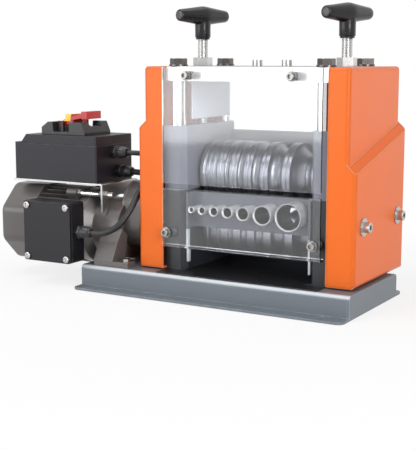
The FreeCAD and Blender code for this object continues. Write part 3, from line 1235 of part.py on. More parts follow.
def end_shield():
    x0 = FRAME_X[1]
    x1 = REDUCER_X[0]
    step = x0 + END_SHIELD_BARREL
    throat = step + END_SHIELD_SHOULDER
    barrel = round_x(x0, step, MOTOR_Y, MOTOR_Z, END_SHIELD_RADIUS)
    shoulder = Part.makeCone(END_SHIELD_RADIUS, END_SHIELD_NECK, END_SHIELD_SHOULDER,
                             V(step, MOTOR_Y, MOTOR_Z),
                             V(1, 0, 0))
    neck = round_x(throat, x1, MOTOR_Y, MOTOR_Z, END_SHIELD_NECK)
    flange = reducer_profile(REDUCER_WALL, x1 - END_SHIELD_FLANGE, x1)
    feet = [prism_x(foot_profile(side), FOOT_X, FOOT_X + length) for side, length in zip(SIDES, FOOT_LENGTHS)]
    toe_length, toe_width = FOOT_TOE
    for side in SIDES:
        span = sorted((MOTOR_Y + side * FOOT_SPREAD, MOTOR_Y + side * (FOOT_SPREAD - toe_width)))
        feet.append(block(FOOT_X, FOOT_X + toe_length, span[0], span[1],
                          BASE_HEIGHT, BASE_HEIGHT + FOOT_HEIGHT))
    body = fuse(barrel, shoulder, neck, flange, *feet)
    hollow = round_x(x0 - 1, step - FRAME_WALL, MOTOR_Y, MOTOR_Z, FRAME_BORE)
    bore = round_x(x0, throat + END_SHIELD_JOURNAL, MOTOR_Y, MOTOR_Z, ROTOR_SHAFT_RADIUS + SLIDING_CLEARANCE)
    through = round_x(x0, x1 + 1, MOTOR_Y, MOTOR_Z, ROTOR_SHAFT_RADIUS + AIR_GAP)
    pivot = round_x(x1 - MIDDLE_SHAFT_SEAT, x1 + 1, MIDDLE_Y, MIDDLE_Z,
                    MIDDLE_SHAFT_RADIUS + SLIDING_CLEARANCE)
    seat = BASE_HEIGHT + FOOT_HEIGHT
    holes = [round_z(BASE_HEIGHT - 1, seat + 1, x, y, FOOT_BOLT_RADIUS + BOLT_CLEARANCE)
             for x, y in foot_bolt_places()]
    return cut(body, hollow, bore, through, pivot, *holes)


def foot_bolts():
    bolts = []
    seat = BASE_HEIGHT + FOOT_HEIGHT
    under = BASE_HEIGHT - BASE_SHEET
    for x, y in foot_bolt_places():
        head = hexagon_z(x, y, seat, seat + FOOT_HEAD, FOOT_NUT_FLATS)
        shank = round_z(under - 2 * FOOT_NUT, seat, x, y, FOOT_BOLT_RADIUS)
        nut = hexagon_z(x, y, under - FOOT_NUT, under, FOOT_NUT_FLATS)
        bolts.append(fuse(head, shank, nut))
    return group(bolts)


def middle_gear(first_turn, second_turn):
    bore = MIDDLE_SHAFT_RADIUS - ROTOR_STEP
    x0, x1 = STAGE_ONE_X
    x2, x3 = STAGE_TWO_X
    big = involute_gear(STAGE_ONE_MODULE, STAGE_ONE_TEETH[1], x0, x1, MIDDLE_Y, MIDDLE_Z, bore, first_turn)
    small = involute_gear(STAGE_TWO_MODULE, STAGE_TWO_TEETH[0], x2, x3, MIDDLE_Y, MIDDLE_Z, bore, second_turn)
    reach = MIDDLE_SHAFT_SEAT - END_CLEARANCE
    end = REDUCER_X[1] - REDUCER_WALL + reach
    pin = round_x(REDUCER_X[0] - reach, end, MIDDLE_Y, MIDDLE_Z, MIDDLE_SHAFT_RADIUS)
    return fuse(big, small, pin)


def output_gear(turn):
    return involute_gear(STAGE_TWO_MODULE, STAGE_TWO_TEETH[1], STAGE_TWO_X[0], STAGE_TWO_X[1],
                         HEAD_Y, LOWER_SHAFT_Z, SHAFT_RADIUS, turn)


def terminal_screw_places():
    x0, x1 = TERMINAL_X
    z0, z1 = TERMINAL_Z
    inset = TERMINAL_SCREW_INSET
    return [(x, z) for x in (x0 + inset, x1 - inset) for z in (z0 + inset, z1 - inset)]


def terminal_box():
    x0, x1 = TERMINAL_X
    y0 = TERMINAL_Y[0] + TERMINAL_LID
    y1 = TERMINAL_Y[1]
    z0, z1 = TERMINAL_Z
    wall = TERMINAL_WALL
    outer = block(x0, x1, y0, y1, z0, z1)
    outer = outer.makeFillet(TERMINAL_EDGE, edges_where(outer, lambda e: runs_along(e, "y")))
    shell = outer.cut(block(x0 + wall, x1 - wall, y0 - 1, y1 - wall, z0 + wall, z1 - wall))
    bosses = [round_y(y0, y1 - wall, x, z, TERMINAL_BOSS_RADIUS) for x, z in terminal_screw_places()]
    shell = fuse(shell, *bosses)
    holes = [round_y(y0 - 1, y0 + TERMINAL_SCREW_DEPTH + 2, x, z, TERMINAL_SCREW_RADIUS)
             for x, z in terminal_screw_places()]
    entry = round_x(x1 - wall - 1, x1 + 1, LINK_GLAND[1], LINK_GLAND[2], GLAND_HOLE_RADIUS)
    return cut(shell, entry, *holes)


def terminal_lid():
    x0, x1 = TERMINAL_X
    y0 = TERMINAL_Y[0]
    z0, z1 = TERMINAL_Z
    lid = block(x0, x1, y0, y0 + TERMINAL_LID, z0, z1)
    lid = lid.makeFillet(TERMINAL_EDGE, edges_where(lid, lambda e: runs_along(e, "y")))
    radius = TERMINAL_SCREW_RADIUS + BOLT_CLEARANCE
    holes = [round_y(y0 - 1, y0 + TERMINAL_LID + 1, x, z, radius) for x, z in terminal_screw_places()]
    return cut(lid, *holes)


def terminal_screws():
    screws = []
    y0 = TERMINAL_Y[0]
    front = y0 - TERMINAL_HEAD
    long = CROSS_LENGTH / 2
    thin = CROSS_WIDTH / 2
    for x, z in terminal_screw_places():
        head = round_y(front, y0, x, z, TERMINAL_HEAD_RADIUS)
        head = head.makeFillet(TERMINAL_HEAD / 2, edges_where(head, lambda e: e.BoundBox.YMax < front + 0.1))
        shank = round_y(y0, y0 + TERMINAL_LID + TERMINAL_SCREW_DEPTH, x, z, TERMINAL_SCREW_RADIUS)
        slot = block(x - long, x + long, front - 1, front + CROSS_DEPTH, z - thin, z + thin)
        cross = block(x - thin, x + thin, front - 1, front + CROSS_DEPTH, z - long, z + long)
        screws.append(cut(fuse(head, shank), slot, cross))
    return group(screws)


def cable_glands():
    glands = []
    entries = ((LINK_GLAND, CABLE_RADIUS), (SWITCH_GLAND, CABLE_RADIUS), (MAINS_GLAND, CORD_RADIUS))
    for place, radius in entries:
        x, y, z = place
        dome_x = x + GLAND_NUT + 1
        nut = hexagon_x(x, x + GLAND_NUT, y, z, GLAND_HEX)
        dome_length = GLAND_LENGTH - GLAND_NUT - 1
        dome = Part.makeCone(GLAND_HEX / 2 - END_CLEARANCE, CABLE_RADIUS + GLAND_TIP_WALL, dome_length,
                             V(dome_x, y, z), V(1, 0, 0))
        neck = round_x(x - GLAND_SPIGOT, dome_x, y, z, CABLE_RADIUS + GLAND_WALL)
        inner = hexagon_x(x - GLAND_SPIGOT, x - GLAND_SPIGOT / 2, y, z, GLAND_INNER_HEX)
        bore = round_x(x - GLAND_SPIGOT - 1, x + GLAND_LENGTH + 1, y, z, radius + SEAT_CLEARANCE)
        glands.append(cut(fuse(nut, dome, neck, inner), bore))
    return group(glands)


def box_screw_places():
    return [(SWITCH_X[0] + BOX_SCREW_INSET, MOTOR_Y), (SWITCH_X[1] - BOX_SCREW_INSET, MOTOR_Y)]


def stud_places():
    return (STUD_Y, 2 * MOTOR_Y - STUD_Y)


def switch_bracket():
    x0, x1 = BRACKET_X
    y0 = MOTOR_Y - SWITCH_DEPTH / 2
    y1 = MOTOR_Y + SWITCH_DEPTH / 2
    z1 = SWITCH_Z[0]
    z0 = z1 - BRACKET_SHEET
    plate = block(x0, x1, y0, y1, z0, z1)
    drop = block(x1 - BRACKET_SHEET, x1, y0, y1, z1 - BRACKET_DROP, z1)
    bent = fuse(plate, drop)
    bend = edges_where(bent, lambda e: runs_along(e, "y") and e.BoundBox.ZMin > z1 - 0.1
                       and e.BoundBox.XMin > x1 - 0.1)
    bent = bent.makeFillet(BRACKET_SHEET, bend)
    deep = 2 * BRACKET_SHEET
    arch = round_x(x1 - deep, x1 + deep, MOTOR_Y, MOTOR_Z, END_SHIELD_NECK + BRACKET_ARCH)
    holes = [round_x(x1 - deep, x1 + deep, y, STUD_Z, STUD_RADIUS + HOLE_CLEARANCE) for y in stud_places()]
    box_holes = [round_z(z0 - 1, z1 + 1, x, y, BOX_SCREW_RADIUS + HOLE_CLEARANCE)
                 for x, y in box_screw_places()]
    return cut(bent, arch, *(holes + box_holes))


def bracket_studs():
    x1 = BRACKET_X[1]
    pieces = []
    for y in stud_places():
        start = FRAME_X[1] - LUG_SETBACK - STUD_DEPTH + 1
        pieces.append(round_x(start, x1 + STUD_OVERHANG, y, STUD_Z, STUD_RADIUS))
        for x in (FRAME_X[1] - LUG_SETBACK, x1 - BRACKET_SHEET - STUD_NUT, x1):
            nut = hexagon_x(x, x + STUD_NUT, y, STUD_Z, STUD_NUT_FLATS)
            pieces.append(nut.cut(round_x(x - 1, x + STUD_NUT + 1, y, STUD_Z, STUD_RADIUS)))
    return group(pieces)


def box_screws():
    screws = []
    under = SWITCH_Z[0] - BRACKET_SHEET
    for x, y in box_screw_places():
        head = round_z(under - BOX_SCREW_HEAD, under, x, y, BOX_SCREW_HEAD_RADIUS)
        shank = round_z(under, SWITCH_Z[0] + SWITCH_WALL, x, y, BOX_SCREW_RADIUS)
        screws.append(fuse(head, shank))
    return group(screws)


def switch_box():
    x0, x1 = SWITCH_X
    y0 = MOTOR_Y - SWITCH_DEPTH / 2
    y1 = MOTOR_Y + SWITCH_DEPTH / 2
    z0, z1 = SWITCH_Z
    wall = SWITCH_WALL
    outer = block(x0, x1, y0, y1, z0, z1)
    outer = outer.makeFillet(wall, edges_where(outer, lambda e: runs_along(e, "z")))
    shell = outer.cut(block(x0 + wall, x1 - wall, y0 + wall, y1 - wall, z0 + wall, z1 + 1))
    entries = [round_x(x1 - wall - 1, x1 + 1, y, z, GLAND_HOLE_RADIUS)
               for _, y, z in (SWITCH_GLAND, MAINS_GLAND)]
    screws = [round_z(z0 - 1, z0 + wall + 1, x, y, BOX_SCREW_RADIUS) for x, y in box_screw_places()]
    return cut(shell, *(entries + screws))


def contact_block():
    z1 = SWITCH_LID_TOP - BUTTON_COLLAR_Z[0] - BUTTON_TRAVEL - BOLT_CLEARANCE
    return block(START_X - CONTACT_MARGIN, STOP_X + CONTACT_MARGIN, SWITCH_Y - CONTACT_HALF_DEPTH,
                 SWITCH_Y + CONTACT_HALF_DEPTH, SWITCH_Z[0] + SWITCH_WALL, z1)


def switch_lid():
    x0 = SWITCH_X[0] + SWITCH_LID_STEP
    x1 = SWITCH_X[1]
    y0 = MOTOR_Y - SWITCH_DEPTH / 2
    y1 = MOTOR_Y + SWITCH_DEPTH / 2
    z0 = SWITCH_Z[1]
    z1 = SWITCH_LID_TOP
    wall = SWITCH_WALL
    rim = z0 + SWITCH_LID_RIM
    lower = block(SWITCH_X[0], x1, y0, y1, z0, rim)
    upper = prism_y([(x0, rim), (x1, rim), (x1, z1), (x0 + SWITCH_LID_SLANT, z1)], y0, y1)
    lid = fuse(lower, upper)
    lid = lid.makeFillet(wall - 0.1, edges_where(lid, lambda e: runs_along(e, "z")))
    hollow = block(x0 + SWITCH_LID_SLANT + wall, x1 - wall, y0 + wall, y1 - wall, z0 - 1, z1 - wall)
    ports = [round_z(z1 - 2 * wall, z1 + 1, x, SWITCH_Y, BUTTON_RADIUS + 2.0) for x in (START_X, STOP_X)]
    return cut(lid, hollow, *ports)


def trapezoid(x0, x1, z0, z1, lean):
    return [(x0, z0), (x1, z0), (x1 - lean, z1), (x0 + lean, z1)]


def switch_bezel():
    x0, x1 = BEZEL_X
    y0, y1 = BEZEL_Y
    z0 = SWITCH_LID_TOP
    z1 = BEZEL_TOP
    left_length, middle_length, right_length = CHEEK_LENGTHS
    plate = block(x0, x1, y0, y1, z0, z1)
    slope_length, slope_foot = CHEEK_SHOULDER
    left = prism_y([(x0, z1), (x0 + left_length, z1), (x0 + left_length - CHEEK_LEAN, CHEEK_TOP),
                    (x0 + slope_length, CHEEK_TOP), (x0, z1 + slope_foot)], y0, y1)
    end_slope = [(x1, z1), (x1 - CHEEK_END_LEAN, CHEEK_TOP)]
    right = prism_y(end_slope + [(x1 - right_length, CHEEK_TOP), (x1 - right_length, z1)], y0, y1)
    middle = end_slope + [(x1 - middle_length + CHEEK_LEAN, CHEEK_TOP), (x1 - middle_length, z1)]
    front = prism_y(middle, y0, y0 + CHEEK_THICKNESS)
    rear = prism_y(middle, y1 - CHEEK_THICKNESS, y1)
    ears = []
    for y in (SWITCH_Y - FLAP_WIDTH / 2 - EAR_GAP - EAR_WIDTH, SWITCH_Y + FLAP_WIDTH / 2 + EAR_GAP):
        ears.append(block(FLAP_HINGE_X - EAR_WIDTH - 1, FLAP_HINGE_X + EAR_WIDTH, y, y + EAR_WIDTH, z1,
                          FLAP_HINGE_Z + EAR_WIDTH))
    body = fuse(plate, left, right, front, rear, *ears)
    ports = [round_z(z0 - 1, z1 + 1, x, SWITCH_Y, BUTTON_RADIUS + HOLE_CLEARANCE) for x in (START_X, STOP_X)]
    pin = round_y(y0 - 1, y1 + 1, FLAP_HINGE_X, FLAP_HINGE_Z, FLAP_PIN_RADIUS + SLIDING_CLEARANCE)
    scoop = block(x0 + SCOOP_WALL, x0 + left_length + 1, SWITCH_Y - SCOOP_HALF, SWITCH_Y + SCOOP_HALF,
                  z1 + SCOOP_WALL, CHEEK_TOP + 1)
    finger = block(x1 - right_length - 1, x1 + 1, SWITCH_Y - FINGER_HALF, SWITCH_Y + FINGER_HALF,
                   CHEEK_TOP - FINGER_DEPTH, CHEEK_TOP + 1)
    return cut(body, pin, scoop, finger, *ports)


def stop_flap():
    y0 = SWITCH_Y - FLAP_WIDTH / 2
    y1 = SWITCH_Y + FLAP_WIDTH / 2
    x0, x1 = FLAP_X
    z0, z1 = FLAP_Z
    top = prism_y([(x0, z0), (x1, z0 + FLAP_RISE), (x1, z1 + FLAP_RISE), (x0, z1)], y0, y1)
    lip_length, lip_drop, lip_rise = FLAP_LIP
    lip = block(x1 - lip_length, x1, y0, y1, z0 + FLAP_RISE - lip_drop, z1 + FLAP_RISE + lip_rise)
    tab_near, tab_far, tab_low, tab_high = FLAP_TAB
    tab = block(FLAP_HINGE_X + tab_near, FLAP_HINGE_X + tab_far, y0 + FLAP_TAB_INSET, y1 - FLAP_TAB_INSET,
                FLAP_HINGE_Z + tab_low, FLAP_HINGE_Z + tab_high)
    heel = [(FLAP_HINGE_X + a, FLAP_HINGE_Z + b) for a, b in FLAP_HEEL]
    lap, back = FLAP_ARM_LAP
    arm_end = [(x0 + lap, z0 - 1.0), (x0 + lap, z1), (x0 - back, z1)]
    arm = prism_y(heel + arm_end, y0 + FLAP_ARM_INSET, y1 - FLAP_ARM_INSET)
    nose = round_z(z0 - FLAP_NOSE, z0 + FLAP_RISE / 2, STOP_X, SWITCH_Y, FLAP_NOSE_RADIUS)
    reach = EAR_GAP + EAR_WIDTH - 1
    pin = round_y(y0 - reach, y1 + reach, FLAP_HINGE_X, FLAP_HINGE_Z, FLAP_PIN_RADIUS)
    return fuse(top, lip, tab, arm, nose, pin)


def push_button(x, height):
    top = SWITCH_LID_TOP + height
    stem = round_z(SWITCH_LID_TOP - 1.0, top, x, SWITCH_Y, BUTTON_RADIUS)
    stem = stem.makeFillet(1.0, edges_where(stem, lambda e: e.BoundBox.ZMin > top - 0.1))
    low, high = BUTTON_COLLAR_Z
    shoulder = round_z(SWITCH_LID_TOP - low, SWITCH_LID_TOP - high, x, SWITCH_Y,
                       BUTTON_RADIUS + BUTTON_COLLAR)
    return fuse(stem, shoulder)


def path_edges(points, radii_out, share=0.45):
    # straight runs joined by tangent arcs as large as the shorter run allows
    corners = [V(*p) for p in points]
    edges = []
    start = corners[0]
    for i in range(1, len(corners) - 1):
        before = corners[i - 1] - corners[i]
        after = corners[i + 1] - corners[i]
        turn = math.pi - before.getAngle(after)
        trim = share * min(before.Length, after.Length)
        radius = trim / math.tan(turn / 2)
        radii_out.append(radius)
        u = before.normalize()
        w = after.normalize()
        first = corners[i] + u * trim
        last = corners[i] + w * trim
        bisector = (u + w).normalize()
        centre = corners[i] + bisector * (radius / math.cos(turn / 2))
        middle = centre - bisector * radius
        edges.append(Part.LineSegment(start, first).toShape())
        edges.append(Part.Arc(first, middle, last).toShape())
        start = last
    edges.append(Part.LineSegment(start, corners[-1]).toShape())
    return edges


def tube(points, radius, label):
    radii = []
    wire = Part.Wire(path_edges(points, radii))
    heading = V(*points[1]) - V(*points[0])
    circle = Part.Wire(Part.makeCircle(radius, V(*points[0]), heading))
    solid = wire.makePipeShell([circle], True, True)
    expected = math.pi * radius ** 2 * wire.Length
    print(label, "length", round(wire.Length, 1), "smallest radius", round(min(radii), 1),
          "volume ratio", round(solid.Volume / expected, 4))
    return solid


COIL_FRONT = COIL_CENTRE[1] - COIL_RADIUS - CORD_RADIUS
LINK_EXIT = LINK_GLAND[0] + GLAND_LENGTH
BOX_EXIT = SWITCH_GLAND[0] + GLAND_LENGTH

# Held cable: out of the terminal box, up behind the left cover, into the switch box
LINK_ROUTE = [
    (LINK_EXIT, LINK_GLAND[1], LINK_GLAND[2]),
    (LINK_EXIT + 20.0, LINK_GLAND[1], LINK_GLAND[2] + 0.5),
    (LINK_EXIT + 38.0, -73.0, 84.0),
    (LINK_EXIT + 48.5, -60.0, 104.0),
    (LINK_EXIT + 50.0, -41.0, 126.0),
    (LINK_EXIT + 46.5, -18.0, 142.0),
    (BOX_EXIT + 19.0, SWITCH_GLAND[1] - 1.5, SWITCH_GLAND[2] - 0.5),
    (BOX_EXIT, SWITCH_GLAND[1], SWITCH_GLAND[2]),
]

# Mains cord: out of the switch box, down between motor and cover, along the surface behind
CORD_ROUTE = [
    (BOX_EXIT, MAINS_GLAND[1], MAINS_GLAND[2]),
    (BOX_EXIT + 13.0, MAINS_GLAND[1], MAINS_GLAND[2]),
    (BOX_EXIT + 27.5, -4.5, 175.0),
    (BOX_EXIT + 35.5, 13.0, 171.5),
    (BOX_EXIT + 35.0, 38.0, 160.0),
    (BOX_EXIT + 29.5, 62.0, 138.0),
    (BOX_EXIT + 25.0, 84.0, 106.0),
    (BOX_EXIT + 28.0, 102.0, 70.0),
    (BOX_EXIT + 38.0, 118.0, 38.0),
    (BOX_EXIT + 55.0, 130.0, 14.0),
    (BOX_EXIT + 78.0, 138.5, 4.8),
    (COIL_CENTRE[0] - COIL_LEAD - 15.0, COIL_FRONT, COIL_LOW_Z),
    (COIL_CENTRE[0] - COIL_LEAD, COIL_FRONT, COIL_LOW_Z),
]

# Free end of the cord, from the top of the coil to the plug
TAIL_ROUTE = [
    (COIL_CENTRE[0] + COIL_LEAD, COIL_FRONT, COIL_HIGH_Z),
    (COIL_CENTRE[0] + 41.0, COIL_FRONT, COIL_HIGH_Z),
    (COIL_CENTRE[0] + 58.0, 141.5, 12.0),
    (COIL_CENTRE[0] + 76.0, 148.5, 10.0),
    (COIL_CENTRE[0] + 92.0, 154.324, 10.0),
]


def cord_coil():
    # the ring of turns, with the two ends of the cord laid along its front
    x, y = COIL_CENTRE
    outer = round_z(0.0, COIL_HEIGHT, x, y, COIL_RADIUS + COIL_HALF_WIDTH)
    ring = outer.cut(round_z(-1, COIL_HEIGHT + 1, x, y, COIL_RADIUS - COIL_HALF_WIDTH))
    lead_in = round_x(x - COIL_LEAD, x, COIL_FRONT, COIL_LOW_Z, CORD_RADIUS)
    lead_out = round_x(x, x + COIL_LEAD, COIL_FRONT, COIL_HIGH_Z, CORD_RADIUS)
    return fuse(ring, lead_in, lead_out)


def mains_plug():
    # moulded two-pin plug, lying along the last run of the tail
    x, y, z = TAIL_ROUTE[-1]
    body_x = x + PLUG_RELIEF
    pins_x = body_x + PLUG_BODY
    relief = Part.makeCone(CORD_RADIUS + 1.2, PLUG_RADIUS - 2.4, PLUG_RELIEF, V(x, y, z), V(1, 0, 0))
    body = round_x(body_x, pins_x, y, z, PLUG_RADIUS)
    body = body.makeFillet(3.0, edges_where(body, lambda e: e.BoundBox.XLength < 0.1))
    shell = fuse(relief, body)
    pins = [round_x(pins_x, pins_x + PLUG_PIN_LENGTH, y + s * PLUG_PIN_OFFSET, z, PLUG_PIN_RADIUS)
            for s in SIDES]
    plug = group([shell] + pins)
    plug.rotate(V(x, y, z), V(0, 0, 1), PLUG_TURN)
    return plug


def main():
    os.makedirs("parts", exist_ok=True)
    save("base", group([base_channel()] + [base_end(side) for side in SIDES]))
    save("base_screws", group(block_screws().Solids + foot_bolts().Solids))
    for side, word in ((-1, "left"), (1, "right")):
        save("fixed_block_" + word, fixed_block(side))
        save("slide_block_" + word, slide_block(side))
        save("lift_screw_" + word, lift_screw(side))
        save("t_grip_" + word, grip(side))
        save("side_cover_" + word, side_cover(side))
    save("guide_rods", guide_rods())
    save("top_plate", top_plate())
    save("inner_screens", group([inner_screen(side) for side in SIDES]))
    save("top_bolts", top_bolts())
    save("plate_screws", group(centre_screws().Solids + screen_screws().Solids))
    save("lift_nuts", lift_nuts())
    save("upper_guard", upper_guard())
    save("lower_guard", lower_guard())
    save("guard_screws", guard_screws())
    save("guard_spacers", guard_spacers())
    save("lower_bearings", bearings(LOWER_SHAFT_Z))
    save("upper_bearings", bearings(UPPER_SHAFT_Z))
    save("lower_shaft", shaft(STAGE_TWO_X[0], LOWER_SHAFT_Z))
    save("upper_shaft", shaft(HEAD_X - BLOCK_OUTER - 3.0, UPPER_SHAFT_Z))
    lower_turn = math.pi / 2
    upper_turn = mesh_turn(PAIR_TEETH, -math.pi / 2, lower_turn, PAIR_TEETH)
    save("lower_gear", group([pair_gear(LOWER_SHAFT_Z, lower_turn), pair_collar(LOWER_SHAFT_Z)]))
    save("upper_gear", group([pair_gear(UPPER_SHAFT_Z, upper_turn), pair_collar(UPPER_SHAFT_Z)]))
    save("feed_roller", feed_roller())
    save("cutter_wheels", group(cutter_wheels().Solids + lock_nuts().Solids))
    save("stripping_blades", blades())
    save("inlet_plate", inlet_plate())
    save("inlet_tubes", inlet_tubes())
    save("carriage_panel", cross_panel(*CARRIAGE_PANEL_Z))
    save("outlet_panel", cross_panel(*OUTLET_PANEL_Z))
    save("cover_bolts", cover_bolts())
    save("fan_cover", fan_cover())
    save("motor_frame", group([motor_frame(), stator()]))
    save("end_shield", end_shield())
    save("cooling_fan", cooling_fan())
    to_middle = math.atan2(MIDDLE_Z - MOTOR_Z, MIDDLE_Y - MOTOR_Y)
    to_output = math.atan2(LOWER_SHAFT_Z - MIDDLE_Z, HEAD_Y - MIDDLE_Y)
    big_turn = mesh_turn(STAGE_ONE_TEETH[1], to_middle + math.pi, to_middle, STAGE_ONE_TEETH[0])
    output_turn = mesh_turn(STAGE_TWO_TEETH[1], to_output + math.pi, to_output, STAGE_TWO_TEETH[0])
    save("rotor", rotor(to_middle))
    save("middle_gear", middle_gear(big_turn, to_output))
    save("output_gear", output_gear(output_turn))
    save("reducer_housing", reducer_housing())
    save("terminal_box", terminal_box())
    save("terminal_lid", terminal_lid())
    save("terminal_screws", terminal_screws())
    save("cable_glands", cable_glands())
    save("switch_bracket", switch_bracket())
    save("bracket_fasteners", group(bracket_studs().Solids + box_screws().Solids))
    save("switch_box", group([switch_box(), contact_block()]))
    save("switch_lid", switch_lid())
    save("switch_bezel", switch_bezel())
    save("stop_flap", stop_flap())
    save("start_button", push_button(START_X, START_HEIGHT))
    save("stop_button", push_button(STOP_X, STOP_HEIGHT))
    save("link_cable", tube(LINK_ROUTE, CABLE_RADIUS, "link cable"))
    cord = tube(CORD_ROUTE, CORD_RADIUS, "mains cord")
    save("mains_cord", group([cord, tube(TAIL_ROUTE, CORD_RADIUS, "cord tail")]))
    save("cord_coil", cord_coil())
    save("mains_plug", mains_plug())


main()
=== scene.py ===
import math

import bpy
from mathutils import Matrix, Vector


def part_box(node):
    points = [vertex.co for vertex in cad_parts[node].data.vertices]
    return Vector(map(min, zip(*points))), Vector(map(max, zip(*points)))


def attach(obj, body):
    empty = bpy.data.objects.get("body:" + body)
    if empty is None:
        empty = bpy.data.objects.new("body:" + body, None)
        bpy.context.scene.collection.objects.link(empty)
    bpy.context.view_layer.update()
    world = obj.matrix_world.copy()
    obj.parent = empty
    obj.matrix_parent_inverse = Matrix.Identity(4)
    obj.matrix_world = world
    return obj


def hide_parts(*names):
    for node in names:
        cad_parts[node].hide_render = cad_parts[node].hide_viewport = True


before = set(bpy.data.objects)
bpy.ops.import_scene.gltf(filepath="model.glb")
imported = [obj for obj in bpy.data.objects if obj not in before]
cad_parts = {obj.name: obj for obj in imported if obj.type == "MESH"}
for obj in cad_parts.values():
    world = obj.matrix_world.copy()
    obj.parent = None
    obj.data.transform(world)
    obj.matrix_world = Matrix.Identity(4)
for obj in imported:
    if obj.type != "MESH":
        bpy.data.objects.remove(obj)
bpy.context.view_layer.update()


# Base: a wide channel bent from steel sheet, with a bench flange along each side and a plate
# welded in at each end. It is sprayed blue-grey and carries the whole machine.
def shade(red, green, blue):
    # a colour as it looks on screen, 0 to 255, brought to the renderer's scale
    def linear(value):
        value = value / 255
        return value / 12.92 if value <= 0.04045 else ((value + 0.055) / 1.055) ** 2.4
    return (linear(red), linear(green), linear(blue), 1.0)


def fill(tree, node, inputs):
    # each input takes a plain value, an output, or a node with the name or number of its output
    for name, source in inputs.items():
        if isinstance(source, tuple) and isinstance(source[0], bpy.types.Node):
            source = source[0].outputs[source[1]]
        if isinstance(source, bpy.types.NodeSocket):
            tree.links.new(source, node.inputs[name])
        else:
            node.inputs[name].default_value = source


def add(tree, kind, inputs=None, **settings):
    node = tree.nodes.new(kind)
    for name, value in settings.items():
        setattr(node, name, value)
    fill(tree, node, inputs or {})
    return node


def new_effect(name, inputs, outputs):
    # an empty node group, shared by several finishes: numbers or vectors in, masks and a normal out
    group = bpy.data.node_groups.new(name, "ShaderNodeTree")
    for label, value in inputs.items():
        kind = "NodeSocketVector" if isinstance(value, tuple) else "NodeSocketFloat"
        socket = group.interface.new_socket(label, in_out="INPUT", socket_type=kind)
        socket.default_value = value
    for label in outputs:
        kind = "NodeSocketVector" if label == "Normal" else "NodeSocketFloat"
        group.interface.new_socket(label, in_out="OUTPUT", socket_type=kind)
    return group, group.nodes.new("NodeGroupInput"), group.nodes.new("NodeGroupOutput")


# edge mask: how far the surface turns within a small radius, broken up by noise; the finishes use
# it for worn edges, for painted highlights and for painted shade along edges
edge_effect, start, end = new_effect(
    "rounded_edge", {"Radius": 0.0006, "Patchiness": 60.0}, ("Mask", "Normal"))
rounded = add(edge_effect, "ShaderNodeBevel", {"Radius": (start, "Radius")}, samples=6)
flat = add(edge_effect, "ShaderNodeNewGeometry")
turned = add(edge_effect, "ShaderNodeVectorMath", {0: (rounded, "Normal"), 1: (flat, "Normal")},
             operation="DOT_PRODUCT")
edge = add(edge_effect, "ShaderNodeMapRange", {
    "Value": (turned, "Value"), "From Min": 0.995, "From Max": 0.86, "To Min": 0.0, "To Max": 1.0})
place = add(edge_effect, "ShaderNodeTexCoord")
patches = add(edge_effect, "ShaderNodeTexNoise", {
    "Vector": (place, "Object"), "Scale": (start, "Patchiness"), "Detail": 4.0, "Roughness": 0.6})
part_worn = add(edge_effect, "ShaderNodeMapRange", {
    "Value": (patches, "Fac"), "From Min": 0.35, "From Max": 0.7})
worn_and_lit_edge = add(edge_effect, "ShaderNodeMath", {0: (edge, "Result"), 1: (part_worn, "Result")},
           operation="MULTIPLY", use_clamp=True)
fill(edge_effect, end, {"Mask": (worn_and_lit_edge, "Value"), "Normal": (rounded, "Normal")})

# sprayed or moulded skin: fine waves over fine grain, laid on the rounded edge's normal
skin_effect, start, end = new_effect(
    "surface_skin", {"Scale": 400.0, "Depth": 0.1, "Normal": (0, 0, 0)}, ("Grain", "Normal"))
place = add(skin_effect, "ShaderNodeTexCoord")
waves = add(skin_effect, "ShaderNodeTexNoise", {
    "Vector": (place, "Object"), "Scale": (start, "Scale"), "Detail": 3.0, "Roughness": 0.55})
bumps = add(skin_effect, "ShaderNodeBump", {
    "Strength": (start, "Depth"), "Distance": 0.0004, "Height": (waves, "Fac"),
    "Normal": (start, "Normal")})
fill(skin_effect, end, {"Grain": (waves, "Fac"), "Normal": (bumps, "Normal")})

# settled dust: soft clouds, more of them on faces that look up
dust_effect, start, end = new_effect("settled_dust", {"Amount": 0.3}, ("Mask",))
place = add(dust_effect, "ShaderNodeTexCoord")
clouds = add(dust_effect, "ShaderNodeTexNoise", {
    "Vector": (place, "Object"), "Scale": 22.0, "Detail": 6.0, "Roughness": 0.65})
facing = add(dust_effect, "ShaderNodeNewGeometry")
parts = add(dust_effect, "ShaderNodeSeparateXYZ", {0: (facing, "Normal")})
upward = add(dust_effect, "ShaderNodeMapRange", {
    "Value": (parts, "Z"), "From Min": -0.2, "From Max": 1.0, "To Min": 0.25, "To Max": 1.0})
thick = add(dust_effect, "ShaderNodeMapRange", {
    "Value": (clouds, "Fac"), "From Min": 0.45, "From Max": 0.8})
both = add(dust_effect, "ShaderNodeMath", {0: (upward, "Result"), 1: (thick, "Result")},
           operation="MULTIPLY")
scaled = add(dust_effect, "ShaderNodeMath", {0: (both, "Value"), 1: (start, "Amount")},
             operation="MULTIPLY", use_clamp=True)
fill(dust_effect, end, {"Mask": (scaled, "Value")})


def use(tree, effect, inputs):
    return add(tree, "ShaderNodeGroup", inputs, node_tree=effect)


def blend_colours(tree, factor, first, second):
    # the first colour where the factor is 0, the second where it is 1
    mix = add(tree, "ShaderNodeMix", {0: factor, 6: first, 7: second}, data_type="RGBA")
    return mix.outputs[2]


def new_finish(name):
    material = bpy.data.materials.new(name)
    material.use_nodes = True
    tree = material.node_tree
    tree.nodes.clear()
    surface = tree.nodes.new("ShaderNodeBsdfPrincipled")
    add(tree, "ShaderNodeOutputMaterial", {"Surface": (surface, "BSDF")})
    return material, tree, surface


